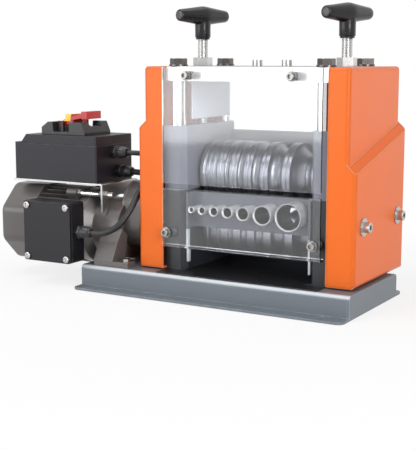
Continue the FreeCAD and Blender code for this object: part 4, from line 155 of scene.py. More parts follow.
def coated(name, colour, edge_colour, dust_colour, roughness, scale, depth, coat,
           radius=0.0008, dust=0.1, specular=0.5):
    # sprayed paint or moulded plastic: skin, slightly lighter edges that are partly wear and partly
    # a painted highlight, a breath of dust
    material, tree, surface = new_finish(name)
    edges = use(tree, edge_effect, {"Radius": radius})
    skin = use(tree, skin_effect, {"Scale": scale, "Depth": depth, "Normal": (edges, "Normal")})
    film = use(tree, dust_effect, {"Amount": dust})
    hollow_tone = tuple(c * 0.85 for c in colour[:3]) + (1.0,)
    tone = blend_colours(tree, (skin, "Grain"), hollow_tone, colour)
    tone = blend_colours(tree, (edges, "Mask"), tone, edge_colour)
    tone = blend_colours(tree, (film, "Mask"), tone, dust_colour)
    spread = add(tree, "ShaderNodeMapRange", {
        "Value": (skin, "Grain"), "To Min": roughness - 0.05, "To Max": roughness + 0.12})
    fill(tree, surface, {
        "Base Color": tone, "Roughness": (spread, "Result"), "Normal": (skin, "Normal"),
        "Coat Weight": coat, "Coat Roughness": 0.12, "Specular IOR Level": specular})
    return material


def tint(material, mask, colour):
    # lays one more colour over a finish, where the mask is 1
    tree = material.node_tree
    entry = tree.nodes["Principled BSDF"].inputs["Base Color"]
    tone = blend_colours(tree, mask, entry.links[0].from_socket, colour)
    tree.links.new(tone, entry)


def finish_with(piece, material):
    piece.data.materials.clear()
    piece.data.materials.append(material)


def dress(material, *names):
    for name in names:
        finish_with(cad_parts[name], material)


base_paint = coated("base_paint", shade(108, 116, 124), shade(176, 186, 194), shade(150, 154, 158),
                    roughness=0.4, scale=700, depth=0.12, coat=0.15, radius=0.0014)
# painted highlight: the bends of the sheet are coloured lighter along their whole length, where the
# face turns upwards, as if catching the light
tree = base_paint.node_tree
facing = add(tree, "ShaderNodeNewGeometry")
parts = add(tree, "ShaderNodeSeparateXYZ", {0: (facing, "Normal")})
forward = add(tree, "ShaderNodeMath", {0: (parts, "Y")}, operation="ABSOLUTE")
slope = add(tree, "ShaderNodeMath", {0: (forward, "Value"), 1: (parts, "Z")}, operation="MULTIPLY")
painted_crest_highlight = add(tree, "ShaderNodeMapRange", {
    "Value": (slope, "Value"), "From Min": 0.2, "From Max": 0.46, "To Max": 0.8})
tint(base_paint, (painted_crest_highlight, "Result"), shade(214, 220, 226))
dress(base_paint, "base")


# Screws and nuts: turned and rolled steel with a zinc skin, slightly uneven in tone. The big top
# bolts and the lift nuts have painted highlights on their top faces and painted shade on their
# flanks, and the small ones are dull.
brush_effect, start, end = new_effect(
    "drawn_lines", {"Stretch": (1, 1, 1), "Depth": 0.1, "Normal": (0, 0, 0)}, ("Lines", "Normal"))
place = add(brush_effect, "ShaderNodeTexCoord")
pulled = add(brush_effect, "ShaderNodeMapping", {
    "Vector": (place, "Object"), "Scale": (start, "Stretch")})
fibres = add(brush_effect, "ShaderNodeTexNoise", {
    "Vector": (pulled, "Vector"), "Scale": 1.0, "Detail": 5.0, "Roughness": 0.7})
ridges = add(brush_effect, "ShaderNodeBump", {
    "Strength": (start, "Depth"), "Distance": 0.0002, "Height": (fibres, "Fac"),
    "Normal": (start, "Normal")})
fill(brush_effect, end, {"Lines": (fibres, "Fac"), "Normal": (ridges, "Normal")})


def metal(name, bright, dark, roughness, stretch, depth, radius=0.0004, metallic=1.0,
          grazing=(1.0, 1.0, 1.0, 1.0)):
    # bare metal: drawn lines in tone, gloss and relief, edges rounded by handling
    material, tree, surface = new_finish(name)
    edges = use(tree, edge_effect, {"Radius": radius})
    lines = use(tree, brush_effect, {
        "Stretch": stretch, "Depth": depth, "Normal": (edges, "Normal")})
    film = use(tree, dust_effect, {"Amount": 0.3})
    rubbed_tone = tuple(min(1.0, c * 1.15) for c in bright[:3]) + (1.0,)
    tone = blend_colours(tree, (lines, "Lines"), dark, bright)
    tone = blend_colours(tree, (edges, "Mask"), tone, rubbed_tone)
    spread = add(tree, "ShaderNodeMapRange", {
        "Value": (lines, "Lines"), "To Min": roughness - 0.06, "To Max": roughness + 0.1})
    hazed = add(tree, "ShaderNodeMath", {0: (spread, "Result"), 1: (film, "Mask")},
                operation="ADD", use_clamp=True)
    fill(tree, surface, {
        "Base Color": tone, "Roughness": (hazed, "Value"), "Normal": (lines, "Normal"),
        "Metallic": metallic, "Specular Tint": grazing})
    return material


def painted_face_light(material, flank):
    # painted light: the faces that look up and the flanks get different tones, standing in for how
    # the light falls on them
    tree = material.node_tree
    facing = add(tree, "ShaderNodeNewGeometry")
    parts = add(tree, "ShaderNodeSeparateXYZ", {0: (facing, "Normal")})
    rise = add(tree, "ShaderNodeMapRange", {
        "Value": (parts, "Z"), "From Min": 0.2, "From Max": 0.6})
    entry = tree.nodes["Principled BSDF"].inputs["Base Color"]
    tone = blend_colours(tree, (rise, "Result"), flank, entry.links[0].from_socket)
    tree.links.new(tone, entry)


EVEN_GRAIN = (300, 300, 300)
zinc_plate = metal("zinc_plate", (0.6, 0.6, 0.58, 1.0), (0.36, 0.36, 0.36, 1.0),
                   roughness=0.24, stretch=EVEN_GRAIN, depth=0.05)
dress(zinc_plate, "base_screws", "plate_screws", "cover_bolts", "terminal_screws")
screw_zinc = metal("screw_zinc", (0.42, 0.41, 0.4, 1.0), (0.2, 0.2, 0.2, 1.0),
                   roughness=0.28, stretch=EVEN_GRAIN, depth=0.05)
dress(screw_zinc, "guard_screws")
bolt_zinc = metal("bolt_zinc", (0.8, 0.8, 0.78, 1.0), (0.6, 0.6, 0.6, 1.0),
                  roughness=0.22, stretch=EVEN_GRAIN, depth=0.05)
painted_face_light(bolt_zinc, (0.11, 0.1, 0.095, 1.0))
dress(bolt_zinc, "top_bolts")
nut_zinc = metal("nut_zinc", (0.85, 0.85, 0.84, 1.0), (0.65, 0.65, 0.65, 1.0),
                 roughness=0.22, stretch=EVEN_GRAIN, depth=0.05)
painted_face_light(nut_zinc, (0.5, 0.5, 0.5, 1.0))
dress(nut_zinc, "lift_nuts")


# Bearing blocks: four machined steel blocks, painted dark grey. The lower pair is screwed to the
# base, the upper pair slides on the rods and carries the cutting shaft.
block_paint = coated("block_paint", shade(114, 117, 128), shade(150, 155, 165),
                     shade(120, 122, 126), roughness=0.42, scale=500, depth=0.1, coat=0.05,
                     radius=0.0012)
dress(block_paint, "slide_block_left", "slide_block_right")
# the lower pair takes a much darker copy of the same grey: painted shade, for the dark under the
# guard
shaded_block_paint = coated("shaded_block_paint", shade(38, 39, 44), shade(104, 108, 116), shade(84, 86, 90),
                    roughness=0.42, scale=500, depth=0.1, coat=0.05, radius=0.0012)
dress(shaded_block_paint, "fixed_block_left", "fixed_block_right")


# Mat and rear skirt: black rubber sheet, laid on the base under the wheels and hung behind
# them down to the base. The black sheets are painted shade, put where the base lies in deep shadow.
MM = 0.001
MERGE_DISTANCE = 0.000002
MAT_CENTRE = (36, -59, 30.6)
MAT_SIZE = (226, 29, 1.2)
MAT_TONGUE = (-51, 123)  # between these the mat runs back under the wheels
TONGUE_LENGTH = 144
MAT_RIM = 2.5
RIM_SLOPE = 0.4
RIM_DROP = 0.5
SKIRT_CENTRE = (36, 96, 58)
SKIRT_SIZE = (174, 1.5, 53)
SKIRT_FOLDS = 12
FOLD_TOP = 40
FOLD_DEPTH = 1.6


def show_only(piece):
    bpy.ops.object.select_all(action="DESELECT")
    piece.select_set(True)
    bpy.context.view_layer.objects.active = piece


def open_block(centre, size):
    # a block given in millimetres, left in edit mode for shaping
    bpy.ops.object.select_all(action="DESELECT")
    bpy.ops.mesh.primitive_cube_add(size=1, location=[c * MM for c in centre],
                                    scale=[s * MM for s in size])
    block = bpy.context.object
    bpy.ops.object.transform_apply(location=True, scale=True)
    bpy.ops.object.mode_set(mode="EDIT")
    return block


def cut_across(x):
    bpy.ops.mesh.select_all(action="SELECT")
    bpy.ops.mesh.bisect(plane_co=(x * MM, 0, 0), plane_no=(1, 0, 0))


def choose(piece, test, kind="VERT"):
    # in edit mode: selects the vertices, or the faces, that pass the test and nothing else
    bpy.ops.mesh.select_mode(type=kind)
    bpy.ops.mesh.select_all(action="DESELECT")
    bpy.ops.object.mode_set(mode="OBJECT")
    for item in (piece.data.vertices if kind == "VERT" else piece.data.polygons):
        item.select = test(item)
    bpy.ops.object.mode_set(mode="EDIT")


def settle(piece, name, angle):
    # closes the work on a piece: its place goes into its mesh, and its rounds are smooth
    if bpy.context.object and bpy.context.object.mode == "EDIT":
        bpy.ops.object.mode_set(mode="OBJECT")
    show_only(piece)
    bpy.ops.object.transform_apply(location=True, rotation=True, scale=True)
    bpy.ops.object.mode_set(mode="EDIT")
    bpy.ops.mesh.select_all(action="SELECT")
    bpy.ops.mesh.remove_doubles(threshold=MERGE_DISTANCE)
    bpy.ops.mesh.normals_make_consistent(inside=False)
    bpy.ops.object.mode_set(mode="OBJECT")
    bpy.ops.object.shade_smooth_by_angle(angle=math.radians(angle))
    piece.name = name
    piece.data.name = name


mat_rubber = coated("mat_rubber", shade(22, 22, 25), shade(40, 40, 44), shade(38, 38, 40),
                    roughness=0.3, scale=900, depth=0.15, coat=0.0, radius=0.0005, dust=0.06)
mat = open_block(MAT_CENTRE, MAT_SIZE)
for x in MAT_TONGUE:
    cut_across(x)
choose(mat, lambda face: face.normal.y > 0.9
       and MAT_TONGUE[0] * MM < face.center.x < MAT_TONGUE[1] * MM, "FACE")
bpy.ops.mesh.extrude_region_move(TRANSFORM_OT_translate={"value": (0, TONGUE_LENGTH * MM, 0)})
choose(mat, lambda face: face.normal.z > 0.9, "FACE")
bpy.ops.mesh.inset(thickness=MAT_RIM * MM, depth=0)
bpy.ops.mesh.inset(thickness=RIM_SLOPE * MM, depth=-RIM_DROP * MM)
settle(mat, "dark_shade_mat", 25)
finish_with(mat, mat_rubber)
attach(mat, "machine")

# the skirt hangs in shallow folds, every other edge of its foot pushed back
skirt = open_block(SKIRT_CENTRE, SKIRT_SIZE)
skirt_left = SKIRT_CENTRE[0] - SKIRT_SIZE[0] / 2
fold = SKIRT_SIZE[0] / SKIRT_FOLDS
for step in range(1, SKIRT_FOLDS):
    cut_across(skirt_left + step * fold)
choose(skirt, lambda v: round((v.co.x / MM - skirt_left) / fold) % 2 == 1
       and v.co.z < FOLD_TOP * MM)
bpy.ops.transform.translate(value=(0, FOLD_DEPTH * MM, 0))
settle(skirt, "rear_skirt", 40)
finish_with(skirt, mat_rubber)
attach(skirt, "machine")


# Guide rods: ground steel bars with a hard chrome skin, clamped between the blocks and the plate.
# They keep the sliding blocks upright while the lift screws raise them.
chrome = metal("hard_chrome", (0.78, 0.79, 0.8, 1.0), (0.6, 0.61, 0.62, 1.0),
               roughness=0.12, stretch=(40, 40, 900), depth=0.02)
dress(chrome, "guide_rods")


# Top plate: thick flat steel bar, ground and left bare, held down by a bolt over every rod. Its
# sides are painted a little lighter than its top face, as a painted highlight.
plate_steel = metal("plate_steel", (0.52, 0.52, 0.52, 1.0), (0.38, 0.38, 0.39, 1.0),
                    roughness=0.34, stretch=(12, 700, 700), depth=0.1,
                    grazing=(0.6, 0.6, 0.6, 1.0))
painted_face_light(plate_steel, (0.68, 0.68, 0.68, 1.0))
dress(plate_steel, "top_plate")


# Inner screens: thin pale sheets bent over and screwed under the plate, beside the lift screws.
# They keep dirt off the threads.
screen_paint = coated("screen_paint", shade(178, 180, 190), shade(226, 228, 234),
                      shade(180, 180, 184), roughness=0.4, scale=600, depth=0.05, coat=0.1)
dress(screen_paint, "inner_screens")


# Lift screws: long M14 bars with a rolled thread from end to end. Turning them raises or lowers
# the sliding blocks.
SCREW_RADIUS = 7 * MM
SCREW_PITCH = 2 * MM
TOOTH_SHARE = 0.55  # depth of a thread's tooth for its pitch


def threaded_bar(radius, pitch, low, high, steps=20):
    # one thread tooth is wound up the bar by a screw modifier, and both ends are cut flat
    depth = pitch * TOOTH_SHARE
    bpy.ops.object.select_all(action="DESELECT")
    bpy.ops.mesh.primitive_plane_add(size=pitch, location=(0, 0, 0), rotation=(math.pi / 2, 0, 0))
    bar = bpy.context.object
    bpy.ops.object.transform_apply(rotation=True)
    bpy.ops.object.mode_set(mode="EDIT")
    choose(bar, lambda v: v.co.x > 0)
    bpy.ops.mesh.delete(type="VERT")
    bpy.ops.mesh.select_all(action="SELECT")
    bpy.ops.transform.translate(value=(radius - depth + pitch / 2, 0, low - pitch / 2))
    bpy.ops.mesh.subdivide(number_cuts=1)
    choose(bar, lambda v: abs(v.co.z - (low - pitch / 2)) < pitch * 0.2)
    bpy.ops.transform.translate(value=(depth, 0, 0))
    bpy.ops.object.mode_set(mode="OBJECT")
    winding = bar.modifiers.new("winding", "SCREW")
    winding.steps = steps
    winding.render_steps = steps
    winding.screw_offset = pitch
    winding.iterations = int((high - low) / pitch) + 2
    winding.use_merge_vertices = True
    winding.merge_threshold = MERGE_DISTANCE
    show_only(bar)
    bpy.ops.object.modifier_apply(modifier="winding")
    bpy.ops.object.mode_set(mode="EDIT")
    bpy.ops.mesh.select_all(action="SELECT")
    bpy.ops.mesh.remove_doubles(threshold=MERGE_DISTANCE)
    for level, way in ((low, 1), (high, -1)):
        bpy.ops.mesh.select_all(action="SELECT")
        bpy.ops.mesh.bisect(plane_co=(0, 0, level), plane_no=(0, 0, way), use_fill=True,
                            clear_inner=True)
    bpy.ops.object.mode_set(mode="OBJECT")
    return bar


def copied(piece):
    # the same shape again, with a mesh of its own
    show_only(piece)
    bpy.ops.object.duplicate()
    return bpy.context.object


def lay(piece, x, y, z, turn=(0, 0, 0)):
    piece.rotation_euler = [math.radians(angle) for angle in turn]
    piece.location = (x, y, z)
    show_only(piece)
    bpy.ops.object.transform_apply(location=True, rotation=True)


thread_steel = metal("thread_steel", (0.74, 0.74, 0.73, 1.0), (0.5, 0.5, 0.5, 1.0),
                     roughness=0.2, stretch=(500, 500, 500), depth=0.03, radius=0.0002)
low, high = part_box("lift_screw_left")
bar = threaded_bar(SCREW_RADIUS, SCREW_PITCH, low.z, high.z)
screw_axes = {}
for side, screw in (("left", bar), ("right", copied(bar))):
    low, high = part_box("lift_screw_" + side)
    screw_axes[side] = ((low.x + high.x) / 2, (low.y + high.y) / 2)
    lay(screw, *screw_axes[side], 0)
    settle(screw, "threaded_lift_screw_" + side, 25)
    finish_with(screw, thread_steel)
    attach(screw, side + "_screw")
    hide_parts("lift_screw_" + side)


# T grips: black moulded handles on the lift screws, a barrel-shaped bar on a round hub, glossy
# from the mould, with a flat grey disc pressed into each end of the bar.
GRIP_TURN = 16
GRIP_HEIGHT = 357 * MM
GRIP_BAR = [(6.3, -41.9), (7.2, -41.4), (7.6, -40.4), (8.4, -34.0), (9.8, -22.0), (11.4, -10.0),
            (12.3, -3.0), (12.4, 0.0), (12.3, 3.0), (11.4, 10.0), (9.8, 22.0), (8.4, 34.0),
            (7.6, 40.4), (7.2, 41.4), (6.3, 41.9)]
GRIP_HUB = [(8.9, -30.6), (9.2, -28.2), (9.9, -27.9), (10.2, -27.1), (10.2, -16.0), (10.5, -9.0),
            (11.2, -3.5), (11.6, -1.0)]
GRIP_DISC = [(5.2, 41.2), (5.2, 42.0), (4.8, 42.2), (2.0, 42.2)]


def turned_piece(outline, sides=48):
    # outline holds (radius, height) pairs in millimetres from the foot up, turned upright
    outline = [(radius * MM, height * MM) for radius, height in outline]
    (foot_radius, foot), (radius, level) = outline[:2]
    bpy.ops.object.select_all(action="DESELECT")
    bpy.ops.mesh.primitive_cone_add(vertices=sides, radius1=foot_radius, radius2=radius,
                                    depth=level - foot, location=(0, 0, (foot + level) / 2))
    piece = bpy.context.object
    bpy.ops.object.transform_apply(location=True)
    bpy.ops.object.mode_set(mode="EDIT")
    choose(piece, lambda face: face.normal.z > 0.9
           and face.center.z > level - MERGE_DISTANCE, "FACE")
    for next_radius, height in outline[2:]:
        bpy.ops.mesh.extrude_region_move(TRANSFORM_OT_translate={"value": (0, 0, height - level)})
        share = next_radius / radius
        bpy.ops.transform.resize(value=(share, share, 1), center_override=(0, 0, height))
        radius, level = next_radius, height
    bpy.ops.object.mode_set(mode="OBJECT")
    return piece


def gather(first, *others):
    bpy.ops.object.select_all(action="DESELECT")
    for piece in (first,) + others:
        piece.select_set(True)
    bpy.context.view_layer.objects.active = first
    bpy.ops.object.join()
    return first


grip_gloss = coated("grip_gloss", shade(14, 14, 19), shade(40, 40, 48), shade(50, 50, 54),
                    roughness=0.24, scale=260, depth=0.03, coat=0.1, radius=0.0006, dust=0.04,
                    specular=0.35)
disc_grey = coated("disc_grey", shade(72, 72, 78), shade(110, 110, 116), shade(90, 90, 94),
                   roughness=0.4, scale=300, depth=0.05, coat=0.1)
bar = turned_piece(GRIP_BAR)
lay(bar, 0, 0, 0, (90, 0, -GRIP_TURN))
first_grip = gather(bar, turned_piece(GRIP_HUB))
first_disc = turned_piece(GRIP_DISC)
for side, grip, rear_disc, front_disc in (
        ("left", first_grip, first_disc, copied(first_disc)),
        ("right", copied(first_grip), copied(first_disc), copied(first_disc))):
    x, y = screw_axes[side]
    lay(grip, x, y, GRIP_HEIGHT)
    settle(grip, "moulded_grip_" + side, 50)
    finish_with(grip, grip_gloss)
    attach(grip, side + "_screw")
    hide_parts("t_grip_" + side)
    for end_name, disc, way in (("rear", rear_disc, -1), ("front", front_disc, 1)):
        lay(disc, x, y, GRIP_HEIGHT, (90 * way, 0, -GRIP_TURN))
        settle(disc, "grip_disc_%s_%s" % (side, end_name), 40)
        finish_with(disc, disc_grey)
        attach(disc, side + "_screw")


# Shafts, gears, cutter wheels and feed roller: turned steel. Fine tool marks run round them, and
# the blades between the wheels are ground brighter.
UPPER_AXIS = (0.0285, 0.154)
LOWER_AXIS = (0.0285, 0.078)


def turned_steel(name, bright, dark, roughness, axis, depth=0.05):
    # tone and relief follow the distance from the shaft's axis and the place along it
    material, tree, surface = new_finish(name)
    edges = use(tree, edge_effect, {"Radius": 0.0005})
    place = add(tree, "ShaderNodeTexCoord")
    centred = add(tree, "ShaderNodeMapping", {
        "Vector": (place, "Object"), "Location": (0, -axis[0], -axis[1])})
    parts = add(tree, "ShaderNodeSeparateXYZ", {0: (centred, "Vector")})
    across = add(tree, "ShaderNodeCombineXYZ", {"Y": (parts, "Y"), "Z": (parts, "Z")})
    reach = add(tree, "ShaderNodeVectorMath", {0: (across, "Vector")}, operation="LENGTH")
    rings = add(tree, "ShaderNodeCombineXYZ", {"X": (parts, "X"), "Y": (reach, "Value")})
    marks = add(tree, "ShaderNodeTexNoise", {
        "Vector": (rings, "Vector"), "Scale": 1500.0, "Detail": 3.0, "Roughness": 0.6})
    smudge = add(tree, "ShaderNodeTexNoise", {
        "Vector": (place, "Object"), "Scale": 60.0, "Detail": 3.0})
    relief = add(tree, "ShaderNodeBump", {
        "Strength": depth, "Distance": 0.0002, "Height": (marks, "Fac"),
        "Normal": (edges, "Normal")})
    tone = blend_colours(tree, (marks, "Fac"), dark, bright)
    tone = blend_colours(tree, (edges, "Mask"), tone, bright)
    spread = add(tree, "ShaderNodeMapRange", {
        "Value": (smudge, "Fac"), "To Min": roughness - 0.08, "To Max": roughness + 0.1})
    fill(tree, surface, {
        "Base Color": tone, "Roughness": (spread, "Result"), "Normal": (relief, "Normal"),
        "Metallic": 1.0})
    return material


upper_steel = turned_steel("upper_wheel_steel", (0.34, 0.35, 0.39, 1.0), (0.19, 0.195, 0.22, 1.0),
                           roughness=0.34, axis=UPPER_AXIS)
lower_steel = turned_steel("lower_wheel_steel", (0.4, 0.41, 0.45, 1.0), (0.2, 0.2, 0.22, 1.0),
                           roughness=0.36, axis=LOWER_AXIS)
blade_steel = turned_steel("blade_steel", (0.5, 0.5, 0.52, 1.0), (0.32, 0.32, 0.33, 1.0),
                           roughness=0.3, axis=UPPER_AXIS, depth=0.02)
dress(upper_steel, "upper_shaft", "upper_gear", "cutter_wheels", "upper_bearings")
dress(lower_steel, "lower_shaft", "lower_gear", "feed_roller", "lower_bearings", "output_gear")
dress(blade_steel, "stripping_blades")


# Inlet plate and tubes: a grey painted plate with two lighter legs, and seven bright steel tubes
# pressed into it that guide each wire to its channel.
LEG_TOP = 84
TUBE_HEIGHT = 111
TUBE_BORES = [(-39, 4), (-23.5, 6), (-6, 8), (13.5, 10), (35.5, 13), (62.5, 20), (98, 30)]
FLARE_BACK = -46
BORE_MARGIN = 0.5
inlet_paint = coated("inlet_paint", shade(96, 99, 108), shade(160, 164, 170), shade(120, 122, 126),
                     roughness=0.4, scale=500, depth=0.08, coat=0.1)
tree = inlet_paint.node_tree
place = add(tree, "ShaderNodeTexCoord")
parts = add(tree, "ShaderNodeSeparateXYZ", {0: (place, "Object")})
leg = add(tree, "ShaderNodeMath", {0: (parts, "Z"), 1: LEG_TOP * MM}, operation="LESS_THAN")
tint(inlet_paint, (leg, "Value"), shade(196, 198, 204))
dress(inlet_paint, "inlet_plate")

# painted shade: the drawn bores are coloured near black inside, behind their bright flared mouths,
# for the shade down the tubes
tube_chrome = metal("tube_chrome", (0.88, 0.88, 0.88, 1.0), (0.6, 0.6, 0.6, 1.0),
                    roughness=0.14, stretch=(700, 20, 700), depth=0.02, radius=0.0003,
                    metallic=0.6)
tree = tube_chrome.node_tree
place = add(tree, "ShaderNodeTexCoord")
parts = add(tree, "ShaderNodeSeparateXYZ", {0: (place, "Object")})
section = add(tree, "ShaderNodeCombineXYZ", {"X": (parts, "X"), "Z": (parts, "Z")})
behind_flare = add(tree, "ShaderNodeMath", {0: (parts, "Y"), 1: FLARE_BACK * MM},
                   operation="GREATER_THAN")
in_bore = None
for x, bore in TUBE_BORES:
    off_axis = add(tree, "ShaderNodeVectorMath", {
        0: (section, "Vector"), 1: (x * MM, 0, TUBE_HEIGHT * MM)}, operation="DISTANCE")
    within = add(tree, "ShaderNodeMath", {
        0: (off_axis, "Value"), 1: (bore / 2 + BORE_MARGIN) * MM}, operation="LESS_THAN")
    if in_bore:
        within = add(tree, "ShaderNodeMath", {0: (in_bore, "Value"), 1: (within, "Value")},
                     operation="MAXIMUM")
    in_bore = within
painted_bore_shade = add(tree, "ShaderNodeMath", {0: (in_bore, "Value"), 1: (behind_flare, "Value")},
                operation="MULTIPLY")
tint(tube_chrome, (painted_bore_shade, "Value"), (0.03, 0.03, 0.03, 1.0))
dress(tube_chrome, "inlet_tubes")


# Cross panels: flat grey painted sheets between the blocks, behind the wheels. One is screwed to
# the sliding carriage and one closes the outlet below it.
panel_paint = coated("panel_paint", shade(118, 121, 130), shade(165, 170, 176),
                     shade(150, 152, 155), roughness=0.45, scale=500, depth=0.08, coat=0.1)
dress(panel_paint, "carriage_panel", "outlet_panel")


# Side covers: orange pressed steel boxes over the blocks and the gears. One pressing serves both
# ends, turned half round, and the bevelled belly makes room for the gears.
orange_paint = coated("orange_paint", (0.86, 0.15, 0.006, 1.0), shade(255, 176, 112),
                      shade(226, 146, 90), roughness=0.3, scale=900, depth=0.1, coat=0.05,
                      radius=0.003, dust=0.03, specular=0.3)
# painted shade and highlight: deep dark orange along the pressed bends, and a thin bright line on
# each crest, for how the light falls on them
painted_bend_shade = use(orange_paint.node_tree, edge_effect, {"Radius": 0.0055, "Patchiness": 3.0})
painted_crest_highlight = use(orange_paint.node_tree, edge_effect, {"Radius": 0.0022, "Patchiness": 3.0})
tint(orange_paint, (painted_bend_shade, "Mask"), (0.3, 0.035, 0.003, 1.0))
tint(orange_paint, (painted_crest_highlight, "Mask"), (1.0, 0.6, 0.34, 1.0))
dress(orange_paint, "side_cover_left", "side_cover_right")


# Guards: two clear acrylic sheets in front of the wheels, with a bent lip along the lower one. They
# stand off on black spacers and show faint wipe marks.
acrylic, tree, surface = new_finish("clear_acrylic")
place = add(tree, "ShaderNodeTexCoord")
pulled = add(tree, "ShaderNodeMapping", {"Vector": (place, "Object"), "Scale": (14, 14, 60)})
wipes = add(tree, "ShaderNodeTexNoise", {
    "Vector": (pulled, "Vector"), "Scale": 1.0, "Detail": 6.0, "Roughness": 0.7})
haze = add(tree, "ShaderNodeMapRange", {
    "Value": (wipes, "Fac"), "From Min": 0.4, "From Max": 0.8, "To Min": 0.04, "To Max": 0.1})
tone = blend_colours(tree, (wipes, "Fac"), (0.97, 0.98, 0.99, 1.0), (0.93, 0.95, 0.97, 1.0))
fill(tree, surface, {
    "Base Color": tone, "Roughness": (haze, "Result"), "IOR": 1.6, "Transmission Weight": 1.0})
# light passes straight through, so that the sheets throw hardly any shadow
passing = add(tree, "ShaderNodeBsdfTransparent", {"Color": (0.94, 0.95, 0.96, 1.0)})
path = add(tree, "ShaderNodeLightPath")
either = add(tree, "ShaderNodeMixShader", {
    0: (path, "Is Shadow Ray"), 1: (surface, "BSDF"), 2: (passing, "BSDF")})
fill(tree, tree.nodes["Material Output"], {"Surface": (either, "Shader")})
dress(acrylic, "upper_guard", "lower_guard")


# Guard spacers: short black knurled sleeves between the blocks and the guards, one per screw. The
# narrow pair holds the upper guard and the wide pair the lower one.
SPACER_KINDS = [(5.4, [(-39, 281), (106.5, 281)]), (7.9, [(-69, 81), (136, 81)])]
SPACER_BACK = -44
SPACER_LENGTH = 13
KNURL_RINGS = 6
KNURL_PITCH = 1.9
KNURL_EDGE = 0.25
KNURL_DEPTH = 0.3
black_oxide = coated("black_oxide", shade(26, 26, 29), shade(80, 80, 84), shade(50, 50, 52),
                     roughness=0.35, scale=900, depth=0.1, coat=0.1, radius=0.0004)
sleeves = []
for radius, places in SPACER_KINDS:
    outline = [(radius - 0.8, 0.05), (radius - 0.4, 0.5)]
    for ring in range(KNURL_RINGS):
        height = 0.9 + ring * KNURL_PITCH
        outline += [(radius - 0.7, height), (radius, height + 0.5), (radius, height + 1.4)]
    outline += [(radius - 0.4, SPACER_LENGTH - 0.5), (radius - 0.8, SPACER_LENGTH - 0.05)]
    sleeve = turned_piece(outline, 24)
    bpy.ops.object.mode_set(mode="EDIT")
    choose(sleeve, lambda face: abs(face.normal.z) < 0.3, "FACE")
    bpy.ops.mesh.inset(thickness=KNURL_EDGE * MM, depth=-KNURL_DEPTH * MM, use_individual=True)
    bpy.ops.object.mode_set(mode="OBJECT")
    for piece, (x, z) in zip((sleeve, copied(sleeve)), places):
        lay(piece, x * MM, SPACER_BACK * MM, z * MM, (90, 0, 0))
        sleeves.append(piece)
sleeve = gather(*sleeves)
settle(sleeve, "knurled_spacers", 20)
finish_with(sleeve, black_oxide)
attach(sleeve, "machine")
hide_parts("guard_spacers")


# Motor: finned cast aluminium frame with an eight-sided fan cover behind and an end shield on feet
# in front, all sprayed warm dark grey. The reducer bolts to the end shield.
ROTOR_AXIS = (-0.01, 0.073)
motor_paint = coated("motor_paint", shade(76, 72, 70), shade(130, 126, 122), shade(100, 96, 92),
                     roughness=0.34, scale=450, depth=0.3, coat=0.2, radius=0.001, dust=0.15)
dress(motor_paint, "motor_frame", "reducer_housing")
cover_paint = coated("fan_cover_paint", shade(88, 84, 82), shade(140, 136, 132),
                     shade(110, 106, 102), roughness=0.36, scale=500, depth=0.15, coat=0.25,
                     radius=0.0012)
dress(cover_paint, "fan_cover")
# the end shield takes a lighter copy of the motor's grey: painted sheen, for the broad highlight on
# its dome
sheen_shield_paint = coated("end_shield_paint", shade(98, 93, 91), shade(150, 146, 142),
                      shade(120, 116, 112), roughness=0.32, scale=450, depth=0.2, coat=0.3,
                      radius=0.001, dust=0.12)
dress(sheen_shield_paint, "end_shield")
rotor_steel = turned_steel("rotor_steel", (0.5, 0.5, 0.5, 1.0), (0.3, 0.3, 0.3, 1.0),
                           roughness=0.3, axis=ROTOR_AXIS)
dress(rotor_steel, "rotor", "middle_gear")
fan_plastic = coated("fan_plastic", shade(44, 44, 46), shade(80, 80, 82), shade(70, 70, 70),
                     roughness=0.5, scale=500, depth=0.08, coat=0.0)
dress(fan_plastic, "cooling_fan")


# Terminal box: black moulded box on the motor's side, with a flat lid held by four bright screws.
# Its skin has the fine grain of the mould.
box_plastic = coated("box_plastic", shade(24, 24, 29), shade(84, 85, 92), shade(50, 50, 54),
                     roughness=0.4, scale=1500, depth=0.2, coat=0.0, radius=0.0012, dust=0.08,
                     specular=0.35)
dress(box_plastic, "terminal_box", "terminal_lid")


# Switch bracket: bright zinc plated sheet, bent down over the end shield and held by two threaded
# studs with duller nuts.
STUD_RADIUS = 3.8 * MM
STUD_PITCH = 1.75 * MM
STUD_PLACES = [(-44, 121), (24, 121)]
STUD_THREADS = [(-214.6, -182.3), (-169.8, -163.2)]
bracket_steel = metal("bracket_steel", (0.56, 0.56, 0.55, 1.0), (0.4, 0.4, 0.4, 1.0),
                      roughness=0.3, stretch=(60, 60, 60), depth=0.03, radius=0.0006)
dress(bracket_steel, "switch_bracket")
dress(screw_zinc, "bracket_fasteners")
threads = []
for low, high in STUD_THREADS:
    thread = threaded_bar(STUD_RADIUS, STUD_PITCH, low * MM, high * MM, 16)
    for piece, (y, z) in zip((thread, copied(thread)), STUD_PLACES):
        lay(piece, 0, y * MM, z * MM, (0, 90, 0))
        threads.append(piece)
threads = gather(*threads)
settle(threads, "stud_threads", 25)
finish_with(threads, thread_steel)
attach(threads, "machine")


